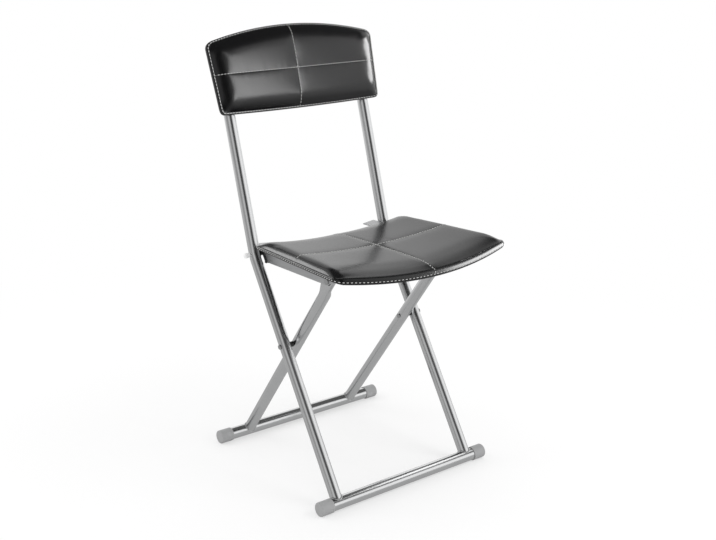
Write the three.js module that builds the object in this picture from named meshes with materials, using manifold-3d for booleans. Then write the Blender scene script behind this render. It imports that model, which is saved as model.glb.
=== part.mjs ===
// Folding chair: a padded seat and backrest on a frame of two crossed pairs of steel tube legs.
// Millimetres, +Z up, the front towards -Y. X = 0 is the plane of symmetry, and +X is the right
// side as seen from the front. The floor is Z = 0.
import * as THREE from "three";
import { mergeVertices } from "three/addons/utils/BufferGeometryUtils.js";
import Module from "manifold-3d";

const wasm = await Module();
wasm.setup();

const degree = Math.PI / 180;

// Clearance between pieces that touch, and how far a cutting tool runs past what it cuts
const gap = 0.3;
const overrun = 3;

// Leg tubes
const tubeRadius = 11;
const tubeWall = 1.5;
const tubeSides = 24;
const outerLegX = 156.5;
const legClearance = 6.7;

// Foot bars and their caps
const barRadius = 12;
const barWall = 1.5;
const barSides = 24;
const frontBarY = -188.7;
const rearBarY = 165.3;
const capRadius = 13.5;
const capLength = 28;
const capEndWall = 2.5;
const capRound = 2.4;
const capMouthChamfer = 0.8;
const capFlat = 0.5;
const capClearance = 3.7;

// Outer leg: bent once, just below the rear pin of the seat
const kinkY = 82;
const kinkZ = 415.7;
const bendRadius = 70;
const bendSteps = 6;
const uprightLean = 17.7 * degree;
const uprightLength = 386;
const rearPinRise = 5;

// Inner leg: its top is pressed to an oval against the seat rail
const hingeY = -132.7;
const hingeZ = 424.5;
const ovalThickness = 12.5;
const ovalWidth = 27.5;
const ovalStart = 52;
const ovalEnd = 16;
const ovalSteps = 5;

// Bolts, screws and rivets
const boltRadius = 3;
const boltSides = 14;
const holeSides = 12;
const headRound = 1.2;
const pivotHeadRadius = 4.8;
const pivotHeadHeight = 2.2;
const pivotNutRadius = 4.8;
const pivotNutHeight = 1.6;
const spacerRadius = 5.2;
const rearHeadRadius = 6.4;
const rearHeadHeight = 2.8;
const capNutRadius = 5;
const capNutCollarRadius = 4;
const capNutCollarLength = 3.4;
const capNutLength = 8.8;
const capNutWall = 1.6;
const rivetHeadRadius = 6;
const rivetHeadHeight = 2.2;
const rivetTailRadius = 5;
const washerRadius = 9;
const washerThickness = 1.2;
const screwRadius = 2;
const screwHeadRadius = 4.4;
const screwHeadHeight = 2.4;
const screwSides = 10;

// Seat rail: an angle section with a hook at the rear that drops over the bush on the rear pin
const seatTilt = 2.8 * degree;
const railThickness = 2;
const railFlange = 27;
const railDrop = 8;
const railFront = 66;
const railFrontNose = 12;
const railNoseAngle = 216 * degree;
const hookNoseWidth = 8.5;
const hookNoseDrop = 7;
const bushRadius = 5;
const bushLength = 8.2;
const notchReach = 14.9;
const notchSlant = 34 * degree;
const linerThickness = 4;
const linerLip = 2;
const linerSideWall = 1.2;

// Seat pad, in the seat's own plane: distances from the front hinge along the seat
const dishRadius = 1124;
const seatBaseHeight = 13;
const seatRearEdge = 191;
const seatFrontEdge = 101.5;
const seatRearOverhang = 29.4;
const seatFrontOverhang = 52.4;
const seatRearBow = 0.5;
const seatFrontBow = 26;
const seatRearCorner = 20;
const seatFrontCorner = 16;
const seatScrewPlaces = [24, 150];

// Backrest pad, in the plane of the uprights: its edges and screws from the uprights' top ends
const backLowDrop = 116.5;
const backHighRise = 18.5;
const backLowOverhang = 27.2;
const backHighOverhang = 34.5;
const backLowBow = 2.5;
const backHighBow = 25.5;
const backLowCorner = 13;
const backHighCorner = 22;
const backScrewDrops = [90, 30];

// What both pads share: a board, a stitched rim round it and a crown of foam
const seatBoardThickness = 4.5;
const backBoardThickness = 8;
const rimWrap = 3.4;
const rimWidth = 5;
const rimHeight = 1.5;
const rimUnderRound = 2;
const seatFoam = { crown: 12, pillow: 2, sideShoulder: 22, endShoulder: 56 };
const backFoam = { crown: 8.5, pillow: 1.5, sideShoulder: 22, endShoulder: 22 };
const edgeSteps = 11;
const cornerSteps = 4;
const crownInsetShares = [0.03, 0.12, 0.28, 0.5, 0.75, 1];
const innerRingShares = [0.22, 0.5, 0.8];

// Upright end plugs
const plugCollar = 2.4;
const plugStemLength = 13;
const plugRound = 1.2;

// Places worked out from the sizes above
const innerLegX = outerLegX - 2 * tubeRadius - legClearance;
const footWidth = 2 * (outerLegX + tubeRadius + capClearance + capLength);
const backLowEdge = uprightLength - backLowDrop;
const backHighEdge = uprightLength + backHighRise;
const backLowHalf = outerLegX + backLowOverhang;
const backHighHalf = outerLegX + backHighOverhang;
const backScrewPlaces = backScrewDrops.map((drop) => uprightLength - drop);
const barZ = capRadius - capFlat;
const kink = new THREE.Vector3(0, kinkY, kinkZ);
const frontBar = new THREE.Vector3(0, frontBarY, barZ);
const rearBar = new THREE.Vector3(0, rearBarY, barZ);
const seatHinge = new THREE.Vector3(0, hingeY, hingeZ);
const uprightLine = new THREE.Vector3(0, Math.sin(uprightLean), Math.cos(uprightLean));
const uprightTop = kink.clone().addScaledVector(uprightLine, uprightLength);
const rearPin = kink.clone().addScaledVector(uprightLine, rearPinRise);
const legLean = Math.atan2(rearBarY - hingeY, hingeZ - barZ);
const pivot = crossing(kink, frontBar, seatHinge, rearBar);
const outerFaceX = outerLegX + tubeRadius;
const outerInnerFaceX = outerLegX - tubeRadius;
const innerFaceX = innerLegX + tubeRadius;
const holeRadius = boltRadius + gap;
const webInnerX = innerFaceX + washerThickness + 2 * gap;
const webOuterX = webInnerX + railThickness;
const seatRearHalf = webOuterX + seatRearOverhang;
const seatFrontHalf = webOuterX + seatFrontOverhang;
const seatPin = intoSeat(rearPin);
const ownOrigin = new THREE.Vector3();
const ovalShift = ovalWidth / 2 - tubeRadius;
const seatScrewLength = railThickness + seatBoardThickness - screwRadius;
const backScrewLength = 2 * tubeRadius + backBoardThickness - screwRadius;

const colours = {
  tube: new THREE.MeshStandardMaterial({ color: 0xa9abad, roughness: 0.28, metalness: 0.95 }),
  cap: new THREE.MeshStandardMaterial({ color: 0x9a9b9c, roughness: 0.6, metalness: 0 }),
  leather: new THREE.MeshStandardMaterial({ color: 0x161617, roughness: 0.42, metalness: 0 }),
  board: new THREE.MeshStandardMaterial({ color: 0x1d1c1b, roughness: 0.85, metalness: 0 }),
  rail: new THREE.MeshStandardMaterial({ color: 0x9c9ea0, roughness: 0.38, metalness: 0.9 }),
  plastic: new THREE.MeshStandardMaterial({ color: 0x121212, roughness: 0.5, metalness: 0 }),
  zinc: new THREE.MeshStandardMaterial({ color: 0x7d7f82, roughness: 0.35, metalness: 0.9 }),
};

// Where the line through a and b meets the line through c and d, in the side view
function crossing(a, b, c, d) {
  const along = b.clone().sub(a);
  const other = d.clone().sub(c);
  const between = c.clone().sub(a);
  const area = along.y * other.z - along.z * other.y;
  const share = (between.y * other.z - between.z * other.y) / area;
  return a.clone().addScaledVector(along, share);
}

// A point of the side view in the seat's own frame: origin on the front hinge, y along the seat
function intoSeat(point) {
  const turn = new THREE.Vector3(1, 0, 0);
  return point.clone().sub(seatHinge).applyAxisAngle(turn, seatTilt);
}

// A mesh as a solid that can be joined and cut, and back
function solidOf(geometry) {
  const bare = geometry.clone();
  bare.deleteAttribute("normal");
  bare.deleteAttribute("uv");
  const merged = mergeVertices(bare);
  const vertProperties = new Float32Array(merged.attributes.position.array);
  const triVerts = new Uint32Array(merged.index.array);
  return new wasm.Manifold(new wasm.Mesh({ numProp: 3, vertProperties, triVerts }));
}

function geometryOf(solid) {
  const mesh = solid.getMesh();
  const geometry = new THREE.BufferGeometry();
  geometry.setAttribute("position", new THREE.BufferAttribute(mesh.vertProperties, 3));
  geometry.setIndex(new THREE.BufferAttribute(mesh.triVerts, 1));
  geometry.computeVertexNormals();
  return geometry;
}

function cut(geometry, ...tools) {
  const whole = solidOf(geometry);
  return geometryOf(tools.reduce((rest, tool) => rest.subtract(solidOf(tool)), whole));
}

// The points of a circle, without a doubled end
function circlePoints(radius, sides) {
  const points = [];
  for (let i = 0; i < sides; i += 1) {
    const angle = (2 * Math.PI * i) / sides;
    points.push(new THREE.Vector2(radius * Math.cos(angle), radius * Math.sin(angle)));
  }
  return points;
}

// The cross section of a round tube
function ringShape(radius, wall, sides) {
  const ring = new THREE.Shape(circlePoints(radius, sides));
  ring.holes.push(new THREE.Path(circlePoints(radius - wall, sides)));
  return ring;
}

function roundAlongX(radius, fromX, toX, centre, sides) {
  const geometry = new THREE.CylinderGeometry(radius, radius, toX - fromX, sides);
  geometry.rotateZ(Math.PI / 2);
  geometry.translate((fromX + toX) / 2, centre.y, centre.z);
  return geometry;
}

// A turned piece: pairs of place along X and radius, spun about the X line through centre
function turnedAlongX(profile, centre, sides) {
  const points = profile.map(([x, radius]) => new THREE.Vector2(radius, x));
  const geometry = new THREE.LatheGeometry(points, sides);
  geometry.rotateZ(-Math.PI / 2);
  geometry.translate(0, centre.y, centre.z);
  return geometry;
}

// The quarter round of a rim, from the side wall over to the end face, as profile pairs.
// way is 1 where the end face looks along +X, and -1 where it looks along -X.
function roundedRim(endX, radius, round, way, steps = 2) {
  const pairs = [];
  for (let i = 0; i <= steps; i += 1) {
    const angle = (i / steps) * (Math.PI / 2);
    const x = endX - way * round * (1 - Math.sin(angle));
    pairs.push([x, radius - round * (1 - Math.cos(angle))]);
  }
  return pairs;
}

// Rings of points joined one to the next, each quad split along its shorter diagonal. Open ends
// are closed by a point in their middle, and a wrapped loft joins its last ring to its first.
function loft(rings, wrapped = false) {
  const count = rings[0].length;
  const positions = [];
  const index = [];
  for (const point of rings.flat()) positions.push(point.x, point.y, point.z);
  const bands = wrapped ? rings.length : rings.length - 1;
  for (let band = 0; band < bands; band += 1) {
    const above = (band + 1) % rings.length;
    const low = band * count;
    const high = above * count;
    for (let i = 0; i < count; i += 1) {
      const next = (i + 1) % count;
      const rising = rings[band][i].distanceTo(rings[above][next]);
      const falling = rings[band][next].distanceTo(rings[above][i]);
      if (rising < falling) {
        index.push(low + i, low + next, high + next);
        index.push(low + i, high + next, high + i);
      } else {
        index.push(low + i, low + next, high + i);
        index.push(low + next, high + next, high + i);
      }
    }
  }
  if (!wrapped) {
    closeRing(rings[0], 0, true, positions, index);
    closeRing(rings[rings.length - 1], (rings.length - 1) * count, false, positions, index);
  }
  const geometry = new THREE.BufferGeometry();
  geometry.setAttribute("position", new THREE.Float32BufferAttribute(positions, 3));
  geometry.setIndex(index);
  geometry.computeVertexNormals();
  return geometry;
}

function closeRing(ring, first, isStart, positions, index) {
  const middle = new THREE.Vector3();
  for (const point of ring) middle.add(point);
  middle.divideScalar(ring.length);
  const centre = positions.length / 3;
  positions.push(middle.x, middle.y, middle.z);
  for (let i = 0; i < ring.length; i += 1) {
    const next = first + ((i + 1) % ring.length);
    if (isStart) index.push(centre, next, first + i);
    else index.push(centre, first + i, next);
  }
}

// The centre line of a tube bent once. Equal steps of the parameter spend one step on each
// straight run and the rest on the bend.
class BentLine extends THREE.Curve {
  constructor(from, corner, to, radius, steps) {
    super();
    const first = corner.clone().sub(from).normalize();
    const second = to.clone().sub(corner).normalize();
    this.turn = first.angleTo(second);
    const tangentLength = radius * Math.tan(this.turn / 2);
    const inward = second.clone().addScaledVector(first, -first.dot(second)).normalize();
    this.from = from;
    this.to = to;
    this.radius = radius;
    this.first = first;
    this.inward = inward;
    this.bendStart = corner.clone().addScaledVector(first, -tangentLength);
    this.bendEnd = corner.clone().addScaledVector(second, tangentLength);
    this.runShare = 1 / (steps + 2);
  }

  getPoint(share, target = new THREE.Vector3()) {
    const rest = 1 - share;
    if (share <= this.runShare) {
      return target.lerpVectors(this.from, this.bendStart, share / this.runShare);
    }
    if (rest <= this.runShare) {
      return target.lerpVectors(this.to, this.bendEnd, rest / this.runShare);
    }
    const angle = (this.turn * (share - this.runShare)) / (1 - 2 * this.runShare);
    target.copy(this.bendStart).addScaledVector(this.first, this.radius * Math.sin(angle));
    return target.addScaledVector(this.inward, this.radius * (1 - Math.cos(angle)));
  }

  getUtoTmapping(share) {
    return share;
  }
}

// Frame pieces

function footBar(bar) {
  const length = footWidth - 2 * (capEndWall + gap);
  const geometry = new THREE.ExtrudeGeometry(ringShape(barRadius, barWall, barSides), {
    depth: length,
    bevelEnabled: false,
  });
  geometry.translate(0, 0, -length / 2);
  geometry.rotateY(Math.PI / 2);
  geometry.translate(0, bar.y, bar.z);
  return geometry;
}

// A plastic cup pushed over the end of a foot bar, cut flat where it stands on the floor
function footCap(bar) {
  const end = footWidth / 2;
  const mouth = end - capLength;
  const profile = [
    [end - capEndWall, 0],
    [end - capEndWall, barRadius + gap],
    [mouth, barRadius + gap],
    [mouth, capRadius - capMouthChamfer],
    [mouth + capMouthChamfer, capRadius],
    ...roundedRim(end, capRadius, capRound, 1),
    [end, 0],
  ];
  const cup = turnedAlongX(profile, bar, barSides);
  const floor = new THREE.BoxGeometry(capLength + 2 * overrun, 2 * capRadius, 2 * capRadius);
  floor.translate(mouth + capLength / 2, bar.y, -capRadius);
  return cut(cup, floor);
}

// The clearance round a foot bar that the end of a leg tube is shaped to
function barSaddle(bar, legX) {
  const reach = tubeRadius + overrun;
  return roundAlongX(barRadius + gap, legX - reach, legX + reach, bar, barSides);
}

// The hole for a backrest screw, square to the upright
function backScrewHole(place) {
  const reach = tubeRadius + overrun;
  const radius = screwRadius + gap;
  const hole = new THREE.CylinderGeometry(radius, radius, 2 * reach, screwSides);
  hole.translate(outerLegX, 0, place);
  hole.rotateX(-uprightLean);
  hole.translate(0, kinkY, kinkZ);
  return hole;
}

function outerLeg() {
  const line = new BentLine(frontBar, kink, uprightTop, bendRadius, bendSteps);
  const geometry = new THREE.ExtrudeGeometry(ringShape(tubeRadius, tubeWall, tubeSides), {
    steps: bendSteps + 2,
    extrudePath: line,
    bevelEnabled: false,
  });
  geometry.translate(outerLegX, 0, 0);
  const reach = tubeRadius + overrun;
  return cut(
    geometry,
    barSaddle(frontBar, outerLegX),
    roundAlongX(holeRadius, outerLegX - reach, outerLegX + reach, pivot, holeSides),
    roundAlongX(holeRadius, outerLegX - reach, outerLegX + reach, rearPin, holeSides),
    ...backScrewPlaces.map(backScrewHole),
  );
}

// The closed end of an upright: a collar over the tube's mouth and a stem inside it
function uprightPlug() {
  const stemRadius = tubeRadius - tubeWall - gap;
  const start = uprightLength + gap;
  const profile = [
    [start - plugStemLength, 0],
    [start - plugStemLength, stemRadius],
    [start, stemRadius],
    [start, tubeRadius],
    ...roundedRim(start + plugCollar, tubeRadius, plugRound, 1),
    [start + plugCollar, 0],
  ];
  const geometry = turnedAlongX(profile, ownOrigin, tubeSides);
  geometry.rotateY(-Math.PI / 2);
  geometry.translate(outerLegX, 0, 0);
  geometry.rotateX(-uprightLean);
  geometry.translate(0, kinkY, kinkZ);
  return geometry;
}

// One ring round the inner leg. squeeze runs from 0, a round tube, to 1, the pressed oval, whose
// outer face and rear edge stay in line with the tube's.
function legRing(along, squeeze, wall) {
  const halfThickness = THREE.MathUtils.lerp(tubeRadius, ovalThickness / 2, squeeze);
  const straight = THREE.MathUtils.lerp(0, (ovalWidth - ovalThickness) / 2, squeeze);
  const centreX = innerLegX + tubeRadius - halfThickness;
  const centreY = THREE.MathUtils.lerp(0, -ovalShift, squeeze);
  const radius = halfThickness - wall;
  const ring = [];
  for (let i = 0; i < tubeSides; i += 1) {
    const angle = (2 * Math.PI * (i + 0.5)) / tubeSides;
    const across = radius * Math.sin(angle) + straight * Math.sign(Math.sin(angle));
    ring.push(new THREE.Vector3(centreX + radius * Math.cos(angle), centreY + across, along));
  }
  return ring;
}

function innerLeg() {
  const length = seatHinge.distanceTo(rearBar);
  const stations = [[0, 0]];
  for (let i = 0; i <= ovalSteps; i += 1) {
    const share = i / ovalSteps;
    const squeeze = share * share * (3 - 2 * share);
    const along = THREE.MathUtils.lerp(length - ovalStart, length - ovalEnd, share);
    stations.push([along, squeeze]);
  }
  stations.push([length + ovalWidth, 1]);
  const outside = stations.map(([along, squeeze]) => legRing(along, squeeze, 0));
  const inside = stations.map(([along, squeeze]) => legRing(along, squeeze, tubeWall));
  const geometry = loft([...outside, ...inside.reverse()], true);
  geometry.rotateX(legLean);
  geometry.translate(0, rearBar.y, rearBar.z);
  const reach = tubeRadius + overrun;
  return cut(
    geometry,
    barSaddle(rearBar, innerLegX),
    roundAlongX(holeRadius, innerLegX - reach, innerLegX + reach, pivot, holeSides),
    roundAlongX(holeRadius, innerLegX - reach, innerLegX + reach, seatHinge, holeSides),
    legEndTrim(),
  );
}

// What is cut off the pressed end so that it is round beside the hinge rivet
function legEndTrim() {
  const wide = 2 * ovalWidth;
  const block = new THREE.BoxGeometry(wide, wide, wide);
  block.translate(innerLegX, -ovalShift, wide / 2);
  const centre = new THREE.Vector3(0, -ovalShift, 0);
  const round = roundAlongX(ovalWidth / 2, innerLegX - wide, innerLegX + wide, centre, barSides);
  const trim = cut(block, round);
  trim.rotateX(legLean);
  trim.translate(0, hingeY, hingeZ);
  return trim;
}

// Pivot fasteners, where the outer and inner legs cross

function pivotBolt() {
  const head = outerFaceX + gap;
  const tail = innerLegX - tubeRadius - pivotNutHeight;
  const profile = [
    [tail, 0],
    [tail, boltRadius],
    [head, boltRadius],
    [head, pivotHeadRadius],
    ...roundedRim(head + pivotHeadHeight, pivotHeadRadius, pivotHeadHeight - headRound / 2, 1),
    [head + pivotHeadHeight, 0],
  ];
  return turnedAlongX(profile, pivot, boltSides);
}

function pivotNut() {
  const start = innerLegX - tubeRadius - gap;
  const end = start - pivotNutHeight;
  const disc = roundAlongX(pivotNutRadius, end, start, pivot, boltSides);
  return cut(disc, roundAlongX(holeRadius, end - overrun, start + overrun, pivot, holeSides));
}

// A spacer shaped to the outer tube on one side and flat against the inner leg on the other
function pivotSpacer() {
  const start = innerFaceX + gap;
  const end = outerInnerFaceX + tubeWall;
  const body = roundAlongX(spacerRadius, start, end, pivot, boltSides);
  const line = frontBar.clone().sub(kink).normalize();
  const hollow = tubeRadius + gap;
  const tube = new THREE.CylinderGeometry(hollow, hollow, 4 * spacerRadius, tubeSides);
  tube.rotateX(Math.atan2(line.z, line.y));
  tube.translate(outerLegX, pivot.y, pivot.z);
  const hole = roundAlongX(holeRadius, start - overrun, end + overrun, pivot, holeSides);
  return cut(body, tube, hole);
}

// Rear pins, which the seat's hooks drop over

function rearBolt() {
  const head = outerInnerFaceX - 2 * gap - bushLength;
  const tail = outerFaceX + gap + capNutCollarLength + capNutLength - capNutWall - gap;
  const profile = [
    [head - rearHeadHeight, 0],
    [head - rearHeadHeight, rearHeadRadius - headRound],
    ...roundedRim(head - rearHeadHeight, rearHeadRadius, headRound, -1).reverse(),
    [head, rearHeadRadius],
    [head, boltRadius],
    [tail, boltRadius],
    [tail, 0],
  ];
  return turnedAlongX(profile, rearPin, boltSides);
}

function hookBush() {
  const start = outerInnerFaceX - gap - bushLength;
  const end = outerInnerFaceX - gap;
  const body = roundAlongX(bushRadius, start, end, rearPin, boltSides);
  return cut(body, roundAlongX(holeRadius, start - overrun, end + overrun, rearPin, holeSides));
}

function capNut() {
  const start = outerFaceX + gap;
  const shoulder = start + capNutCollarLength;
  const tip = shoulder + capNutLength;
  const bottom = tip - capNutWall;
  const profile = [
    [bottom, 0],
    [bottom, holeRadius],
    [start, holeRadius],
    [start, capNutCollarRadius],
    [shoulder, capNutCollarRadius],
    [shoulder, capNutRadius],
    ...roundedRim(tip, capNutRadius, capNutRadius - headRound, 1, 5),
    [tip, 0],
  ];
  return turnedAlongX(profile, rearPin, boltSides);
}

// Front hinges of the seat

function hingeRivet() {
  const tail = innerFaceX - ovalThickness - gap;
  const head = webOuterX + gap;
  const profile = [
    [tail - rivetHeadHeight, 0],
    ...roundedRim(tail - rivetHeadHeight, rivetTailRadius, headRound, -1).reverse(),
    [tail, rivetTailRadius],
    [tail, boltRadius],
    [head, boltRadius],
    [head, rivetHeadRadius],
    ...roundedRim(head + rivetHeadHeight, rivetHeadRadius, headRound, 1),
    [head + rivetHeadHeight, 0],
  ];
  return turnedAlongX(profile, seatHinge, boltSides);
}

function hingeWasher() {
  const start = innerFaceX + gap;
  const end = start + washerThickness;
  const body = roundAlongX(washerRadius, start, end, seatHinge, boltSides);
  const hole = roundAlongX(holeRadius, start - overrun, end + overrun, seatHinge, holeSides);
  return cut(body, hole);
}

// Seat rails, in the seat's frame

// The height of the seat board's underside above the hinge line
function seatBase(x) {
  return seatBaseHeight + (x * x) / (2 * dishRadius);
}

// The angle section, whose flange follows the dish of the board
function railSection() {
  const flangeEnd = webOuterX - railFlange;
  const outerTop = seatBase(webOuterX) - 2 * gap;
  const innerTop = seatBase(flangeEnd) - 2 * gap;
  const fall = ((outerTop - innerTop) * railThickness) / railFlange;
  return new THREE.Shape([
    new THREE.Vector2(webOuterX, -2 * railFlange),
    new THREE.Vector2(webOuterX, outerTop),
    new THREE.Vector2(flangeEnd, innerTop),
    new THREE.Vector2(flangeEnd, innerTop - railThickness),
    new THREE.Vector2(webInnerX, outerTop - railThickness - fall),
    new THREE.Vector2(webInnerX, -2 * railFlange),
  ]);
}

// The outline of the hook's notch, open downwards, grown by a wall. It is round about the pin, and
// its front wall slants forward to the mouth so that the pin can leave.
function notchShape(grow, depth) {
  const reach = bushRadius + gap + grow;
  const mouthY = seatPin.y - notchReach - grow;
  const slantY = seatPin.y - reach * Math.cos(notchSlant);
  const slantZ = seatPin.z + reach * Math.sin(notchSlant);
  const shape = new THREE.Shape();
  shape.moveTo(seatPin.y + reach, seatPin.z - depth);
  shape.lineTo(seatPin.y + reach, seatPin.z);
  shape.absarc(seatPin.y, seatPin.z, reach, 0, Math.PI - notchSlant, false);
  shape.lineTo(mouthY, slantZ - (slantY - mouthY) / Math.tan(notchSlant));
  shape.lineTo(mouthY, seatPin.z - depth);
  return shape;
}

// A shape of the side view as a slab across X
function slabAlongX(shape, fromX, toX, curveSegments = 6) {
  const geometry = new THREE.ExtrudeGeometry(shape, {
    depth: toX - fromX,
    bevelEnabled: false,
    curveSegments,
  });
  const axes = new THREE.Matrix4().set(0, 0, 1, fromX, 1, 0, 0, 0, 0, 1, 0, 0, 0, 0, 0, 1);
  geometry.applyMatrix4(axes);
  return geometry;
}

// The side view of a rail: round about the front hinge, straight below, with the hook's nose
function railOutline() {
  const top = 2 * railFlange;
  const rear = seatPin.y + bushRadius + 2 * gap + linerThickness + hookNoseWidth;
  const noseRound = hookNoseWidth / 2;
  const noseZ = seatPin.z - hookNoseDrop + noseRound;
  const shape = new THREE.Shape();
  shape.moveTo(-railFront, top);
  shape.lineTo(-railFront, seatBaseHeight);
  shape.lineTo(-railFront + railFrontNose, seatBaseHeight - railThickness);
  shape.absarc(0, 0, railDrop, railNoseAngle, Math.PI * 1.5, false);
  shape.lineTo(seatPin.y, -railDrop);
  shape.lineTo(seatPin.y, 0);
  shape.lineTo(rear - hookNoseWidth, 0);
  shape.lineTo(rear - hookNoseWidth, noseZ);
  shape.absarc(rear - noseRound, noseZ, noseRound, Math.PI, 2 * Math.PI, false);
  shape.lineTo(rear, top);
  return shape;
}

function seatRail() {
  const rear = seatPin.y + 2 * railFlange;
  const section = new THREE.ExtrudeGeometry(railSection(), {
    depth: rear + railFront + overrun,
    bevelEnabled: false,
  });
  section.rotateX(Math.PI / 2);
  section.translate(0, rear, 0);
  const side = slabAlongX(railOutline(), webOuterX - railFlange - overrun, webOuterX + overrun);
  const blank = geometryOf(solidOf(section).intersect(solidOf(side)));
  const fromX = webInnerX - overrun;
  const toX = webOuterX + overrun;
  const notch = slabAlongX(notchShape(linerThickness + gap, 2 * railFlange), fromX, toX);
  const hinge = roundAlongX(holeRadius, fromX, toX, ownOrigin, holeSides);
  const screwHoles = seatScrewPlaces.map((place) => onFlange(seatScrewHole(), place));
  return cut(blank, notch, hinge, ...screwHoles);
}

// The plastic lining of the hook's notch, with a lip down each face of the web
function hookLiner() {
  const fromX = webInnerX - gap - linerSideWall;
  const toX = webOuterX + gap + linerSideWall;
  const depth = seatPin.z + railDrop + linerLip;
  const lipped = linerThickness + linerLip;
  const outer = slabAlongX(notchShape(lipped, depth), fromX, toX);
  const inner = slabAlongX(notchShape(0, depth + overrun), fromX - overrun, toX + overrun);
  const around = notchShape(lipped + overrun, depth + overrun);
  const within = notchShape(linerThickness, depth + 2 * overrun);
  const groove = cut(
    slabAlongX(around, webInnerX - gap, webOuterX + gap),
    slabAlongX(within, webInnerX - overrun, webOuterX + overrun),
  );
  return cut(outer, inner, groove, linerRearTrim(depth, fromX, toX));
}

// The liner's rear wall ends with the hook's nose
function linerRearTrim(depth, fromX, toX) {
  const height = depth - hookNoseDrop + overrun;
  const top = seatPin.z - hookNoseDrop;
  const block = new THREE.BoxGeometry(toX - fromX + 2 * overrun, 2 * notchReach, height);
  block.translate((fromX + toX) / 2, seatPin.y + notchReach, top - height / 2);
  return block;
}

// Places a piece made about the origin, standing along Z, under the tilted flange of a rail
function onFlange(geometry, place, side = 1) {
  const outer = seatBase(webOuterX);
  const inner = seatBase(webOuterX - railFlange);
  const slope = Math.atan2(outer - inner, railFlange);
  geometry.rotateY(-side * slope);
  const height = (outer + inner) / 2 - 2 * gap - railThickness;
  geometry.translate(side * (webOuterX - railFlange / 2), place, height);
  return geometry;
}

// A pan head screw along Z: the head's seat at z = 0, the shank upwards
function panScrew(length) {
  const profile = [
    [-gap - screwHeadHeight, 0],
    ...roundedRim(-gap - screwHeadHeight, screwHeadRadius, headRound, -1).reverse(),
    [-gap, screwHeadRadius],
    [-gap, screwRadius],
    [length, screwRadius],
    [length, 0],
  ];
  const screw = turnedAlongX(profile, ownOrigin, screwSides);
  screw.rotateY(-Math.PI / 2);
  return screw;
}

// A hole along Z that ends at a height and runs down past a length
function screwHole(end, length) {
  const radius = screwRadius + gap;
  const hole = new THREE.CylinderGeometry(radius, radius, length, screwSides);
  hole.rotateX(Math.PI / 2);
  hole.translate(0, 0, end - length / 2);
  return hole;
}

function seatScrewHole() {
  return screwHole(seatScrewLength + gap, railThickness + seatBoardThickness);
}

// Pads

// One edge of a pad from corner to corner, bowed outwards, without the parts that its round
// corners take
function edgePoints(from, to, bow, corner) {
  const outward = new THREE.Vector2(to.y - from.y, from.x - to.x).normalize();
  const trim = corner / from.distanceTo(to);
  const points = [];
  for (let i = 0; i <= edgeSteps; i += 1) {
    const share = trim + ((1 - 2 * trim) * i) / edgeSteps;
    const point = new THREE.Vector2().lerpVectors(from, to, share);
    points.push(point.addScaledVector(outward, bow * 4 * share * (1 - share)));
  }
  return points;
}

// The outline of a pad, counter-clockwise: a low and a high edge with their own half widths,
// bows and corner sizes, joined by straight sides
function padOutline(low, high) {
  const corners = [
    new THREE.Vector2(-low.half, low.y),
    new THREE.Vector2(low.half, low.y),
    new THREE.Vector2(high.half, high.y),
    new THREE.Vector2(-high.half, high.y),
  ];
  const rounds = [low.corner, low.corner, high.corner, high.corner];
  const bows = [low.bow, 0, high.bow, 0];
  const edges = corners.map((corner, i) =>
    edgePoints(corner, corners[(i + 1) % 4], bows[i], (rounds[i] + rounds[(i + 1) % 4]) / 2),
  );
  const points = [];
  edges.forEach((edge, i) => {
    points.push(...edge);
    const corner = corners[(i + 1) % 4];
    const next = edges[(i + 1) % 4];
    const bend = new THREE.QuadraticBezierCurve(edge[edge.length - 1], corner, next[0]);
    points.push(...bend.getPoints(cornerSteps).slice(1, -1));
  });
  return points;
}

// A closed form over an outline: rings at an inset from the edge, drawn in towards the middle by
// a share, each at its own height above the base, from the middle of the underside over the rim
// to the middle of the top. Rings on the foam's shoulder lie further in by a share of its width,
// which runs from the side's to the end's with the direction from the middle.
function padForm(outline, rings, base, foam = seatFoam) {
  const lowest = Math.min(...outline.map((point) => point.y));
  const highest = Math.max(...outline.map((point) => point.y));
  const middle = new THREE.Vector2(0, (lowest + highest) / 2);
  const ringPoints = ({ inset, shoulderShare = 0, share, height }) =>
    outline.map((edge) => {
      const spoke = edge.clone().sub(middle);
      const across = (spoke.x / spoke.length()) ** 2;
      const shoulder = THREE.MathUtils.lerp(foam.endShoulder, foam.sideShoulder, across);
      spoke.setLength((spoke.length() - inset - shoulder * shoulderShare) * share);
      return new THREE.Vector3(spoke.x, middle.y + spoke.y, base(spoke.x) + height);
    });
  return loft(rings.map(ringPoints));
}

// Rings at one inset and height, from the middle out to the full outline or back
function flatRings(inset, height) {
  return [...innerRingShares, 1].map((share) => ({ inset, share, height }));
}

// Rings of the foam's crown, from the stitched rim over an elliptic shoulder to the middle
function crownRings(rim, foam) {
  const shoulder = crownInsetShares.map((share) => ({
    inset: rimWidth,
    shoulderShare: share,
    share: 1,
    height: rim + foam.crown * Math.sqrt(1 - (1 - share) * (1 - share)),
  }));
  const middle = [...innerRingShares].reverse().map((share) => ({
    inset: rimWidth,
    shoulderShare: 1,
    share,
    height: rim + foam.crown + foam.pillow * (1 - share * share),
  }));
  return [{ inset: rimWidth, share: 1, height: rim }, ...shoulder, ...middle];
}

// The foam in its leather cover, with a recess that holds the board
function cushion(outline, boardThickness, foam, base) {
  const rim = boardThickness + rimHeight;
  return padForm(
    outline,
    [
      ...flatRings(rimWrap, boardThickness + gap),
      { inset: rimWrap, share: 1, height: 0 },
      { inset: rimUnderRound, share: 1, height: 0 },
      { inset: 0, share: 1, height: rim / 2 },
      { inset: gap, share: 1, height: rim },
      ...crownRings(rim, foam),
    ],
    base,
    foam,
  );
}

function board(outline, boardThickness, base) {
  const inset = rimWrap + gap;
  const rings = [...flatRings(inset, 0), ...flatRings(inset, boardThickness).reverse()];
  return padForm(outline, rings, base);
}

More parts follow.
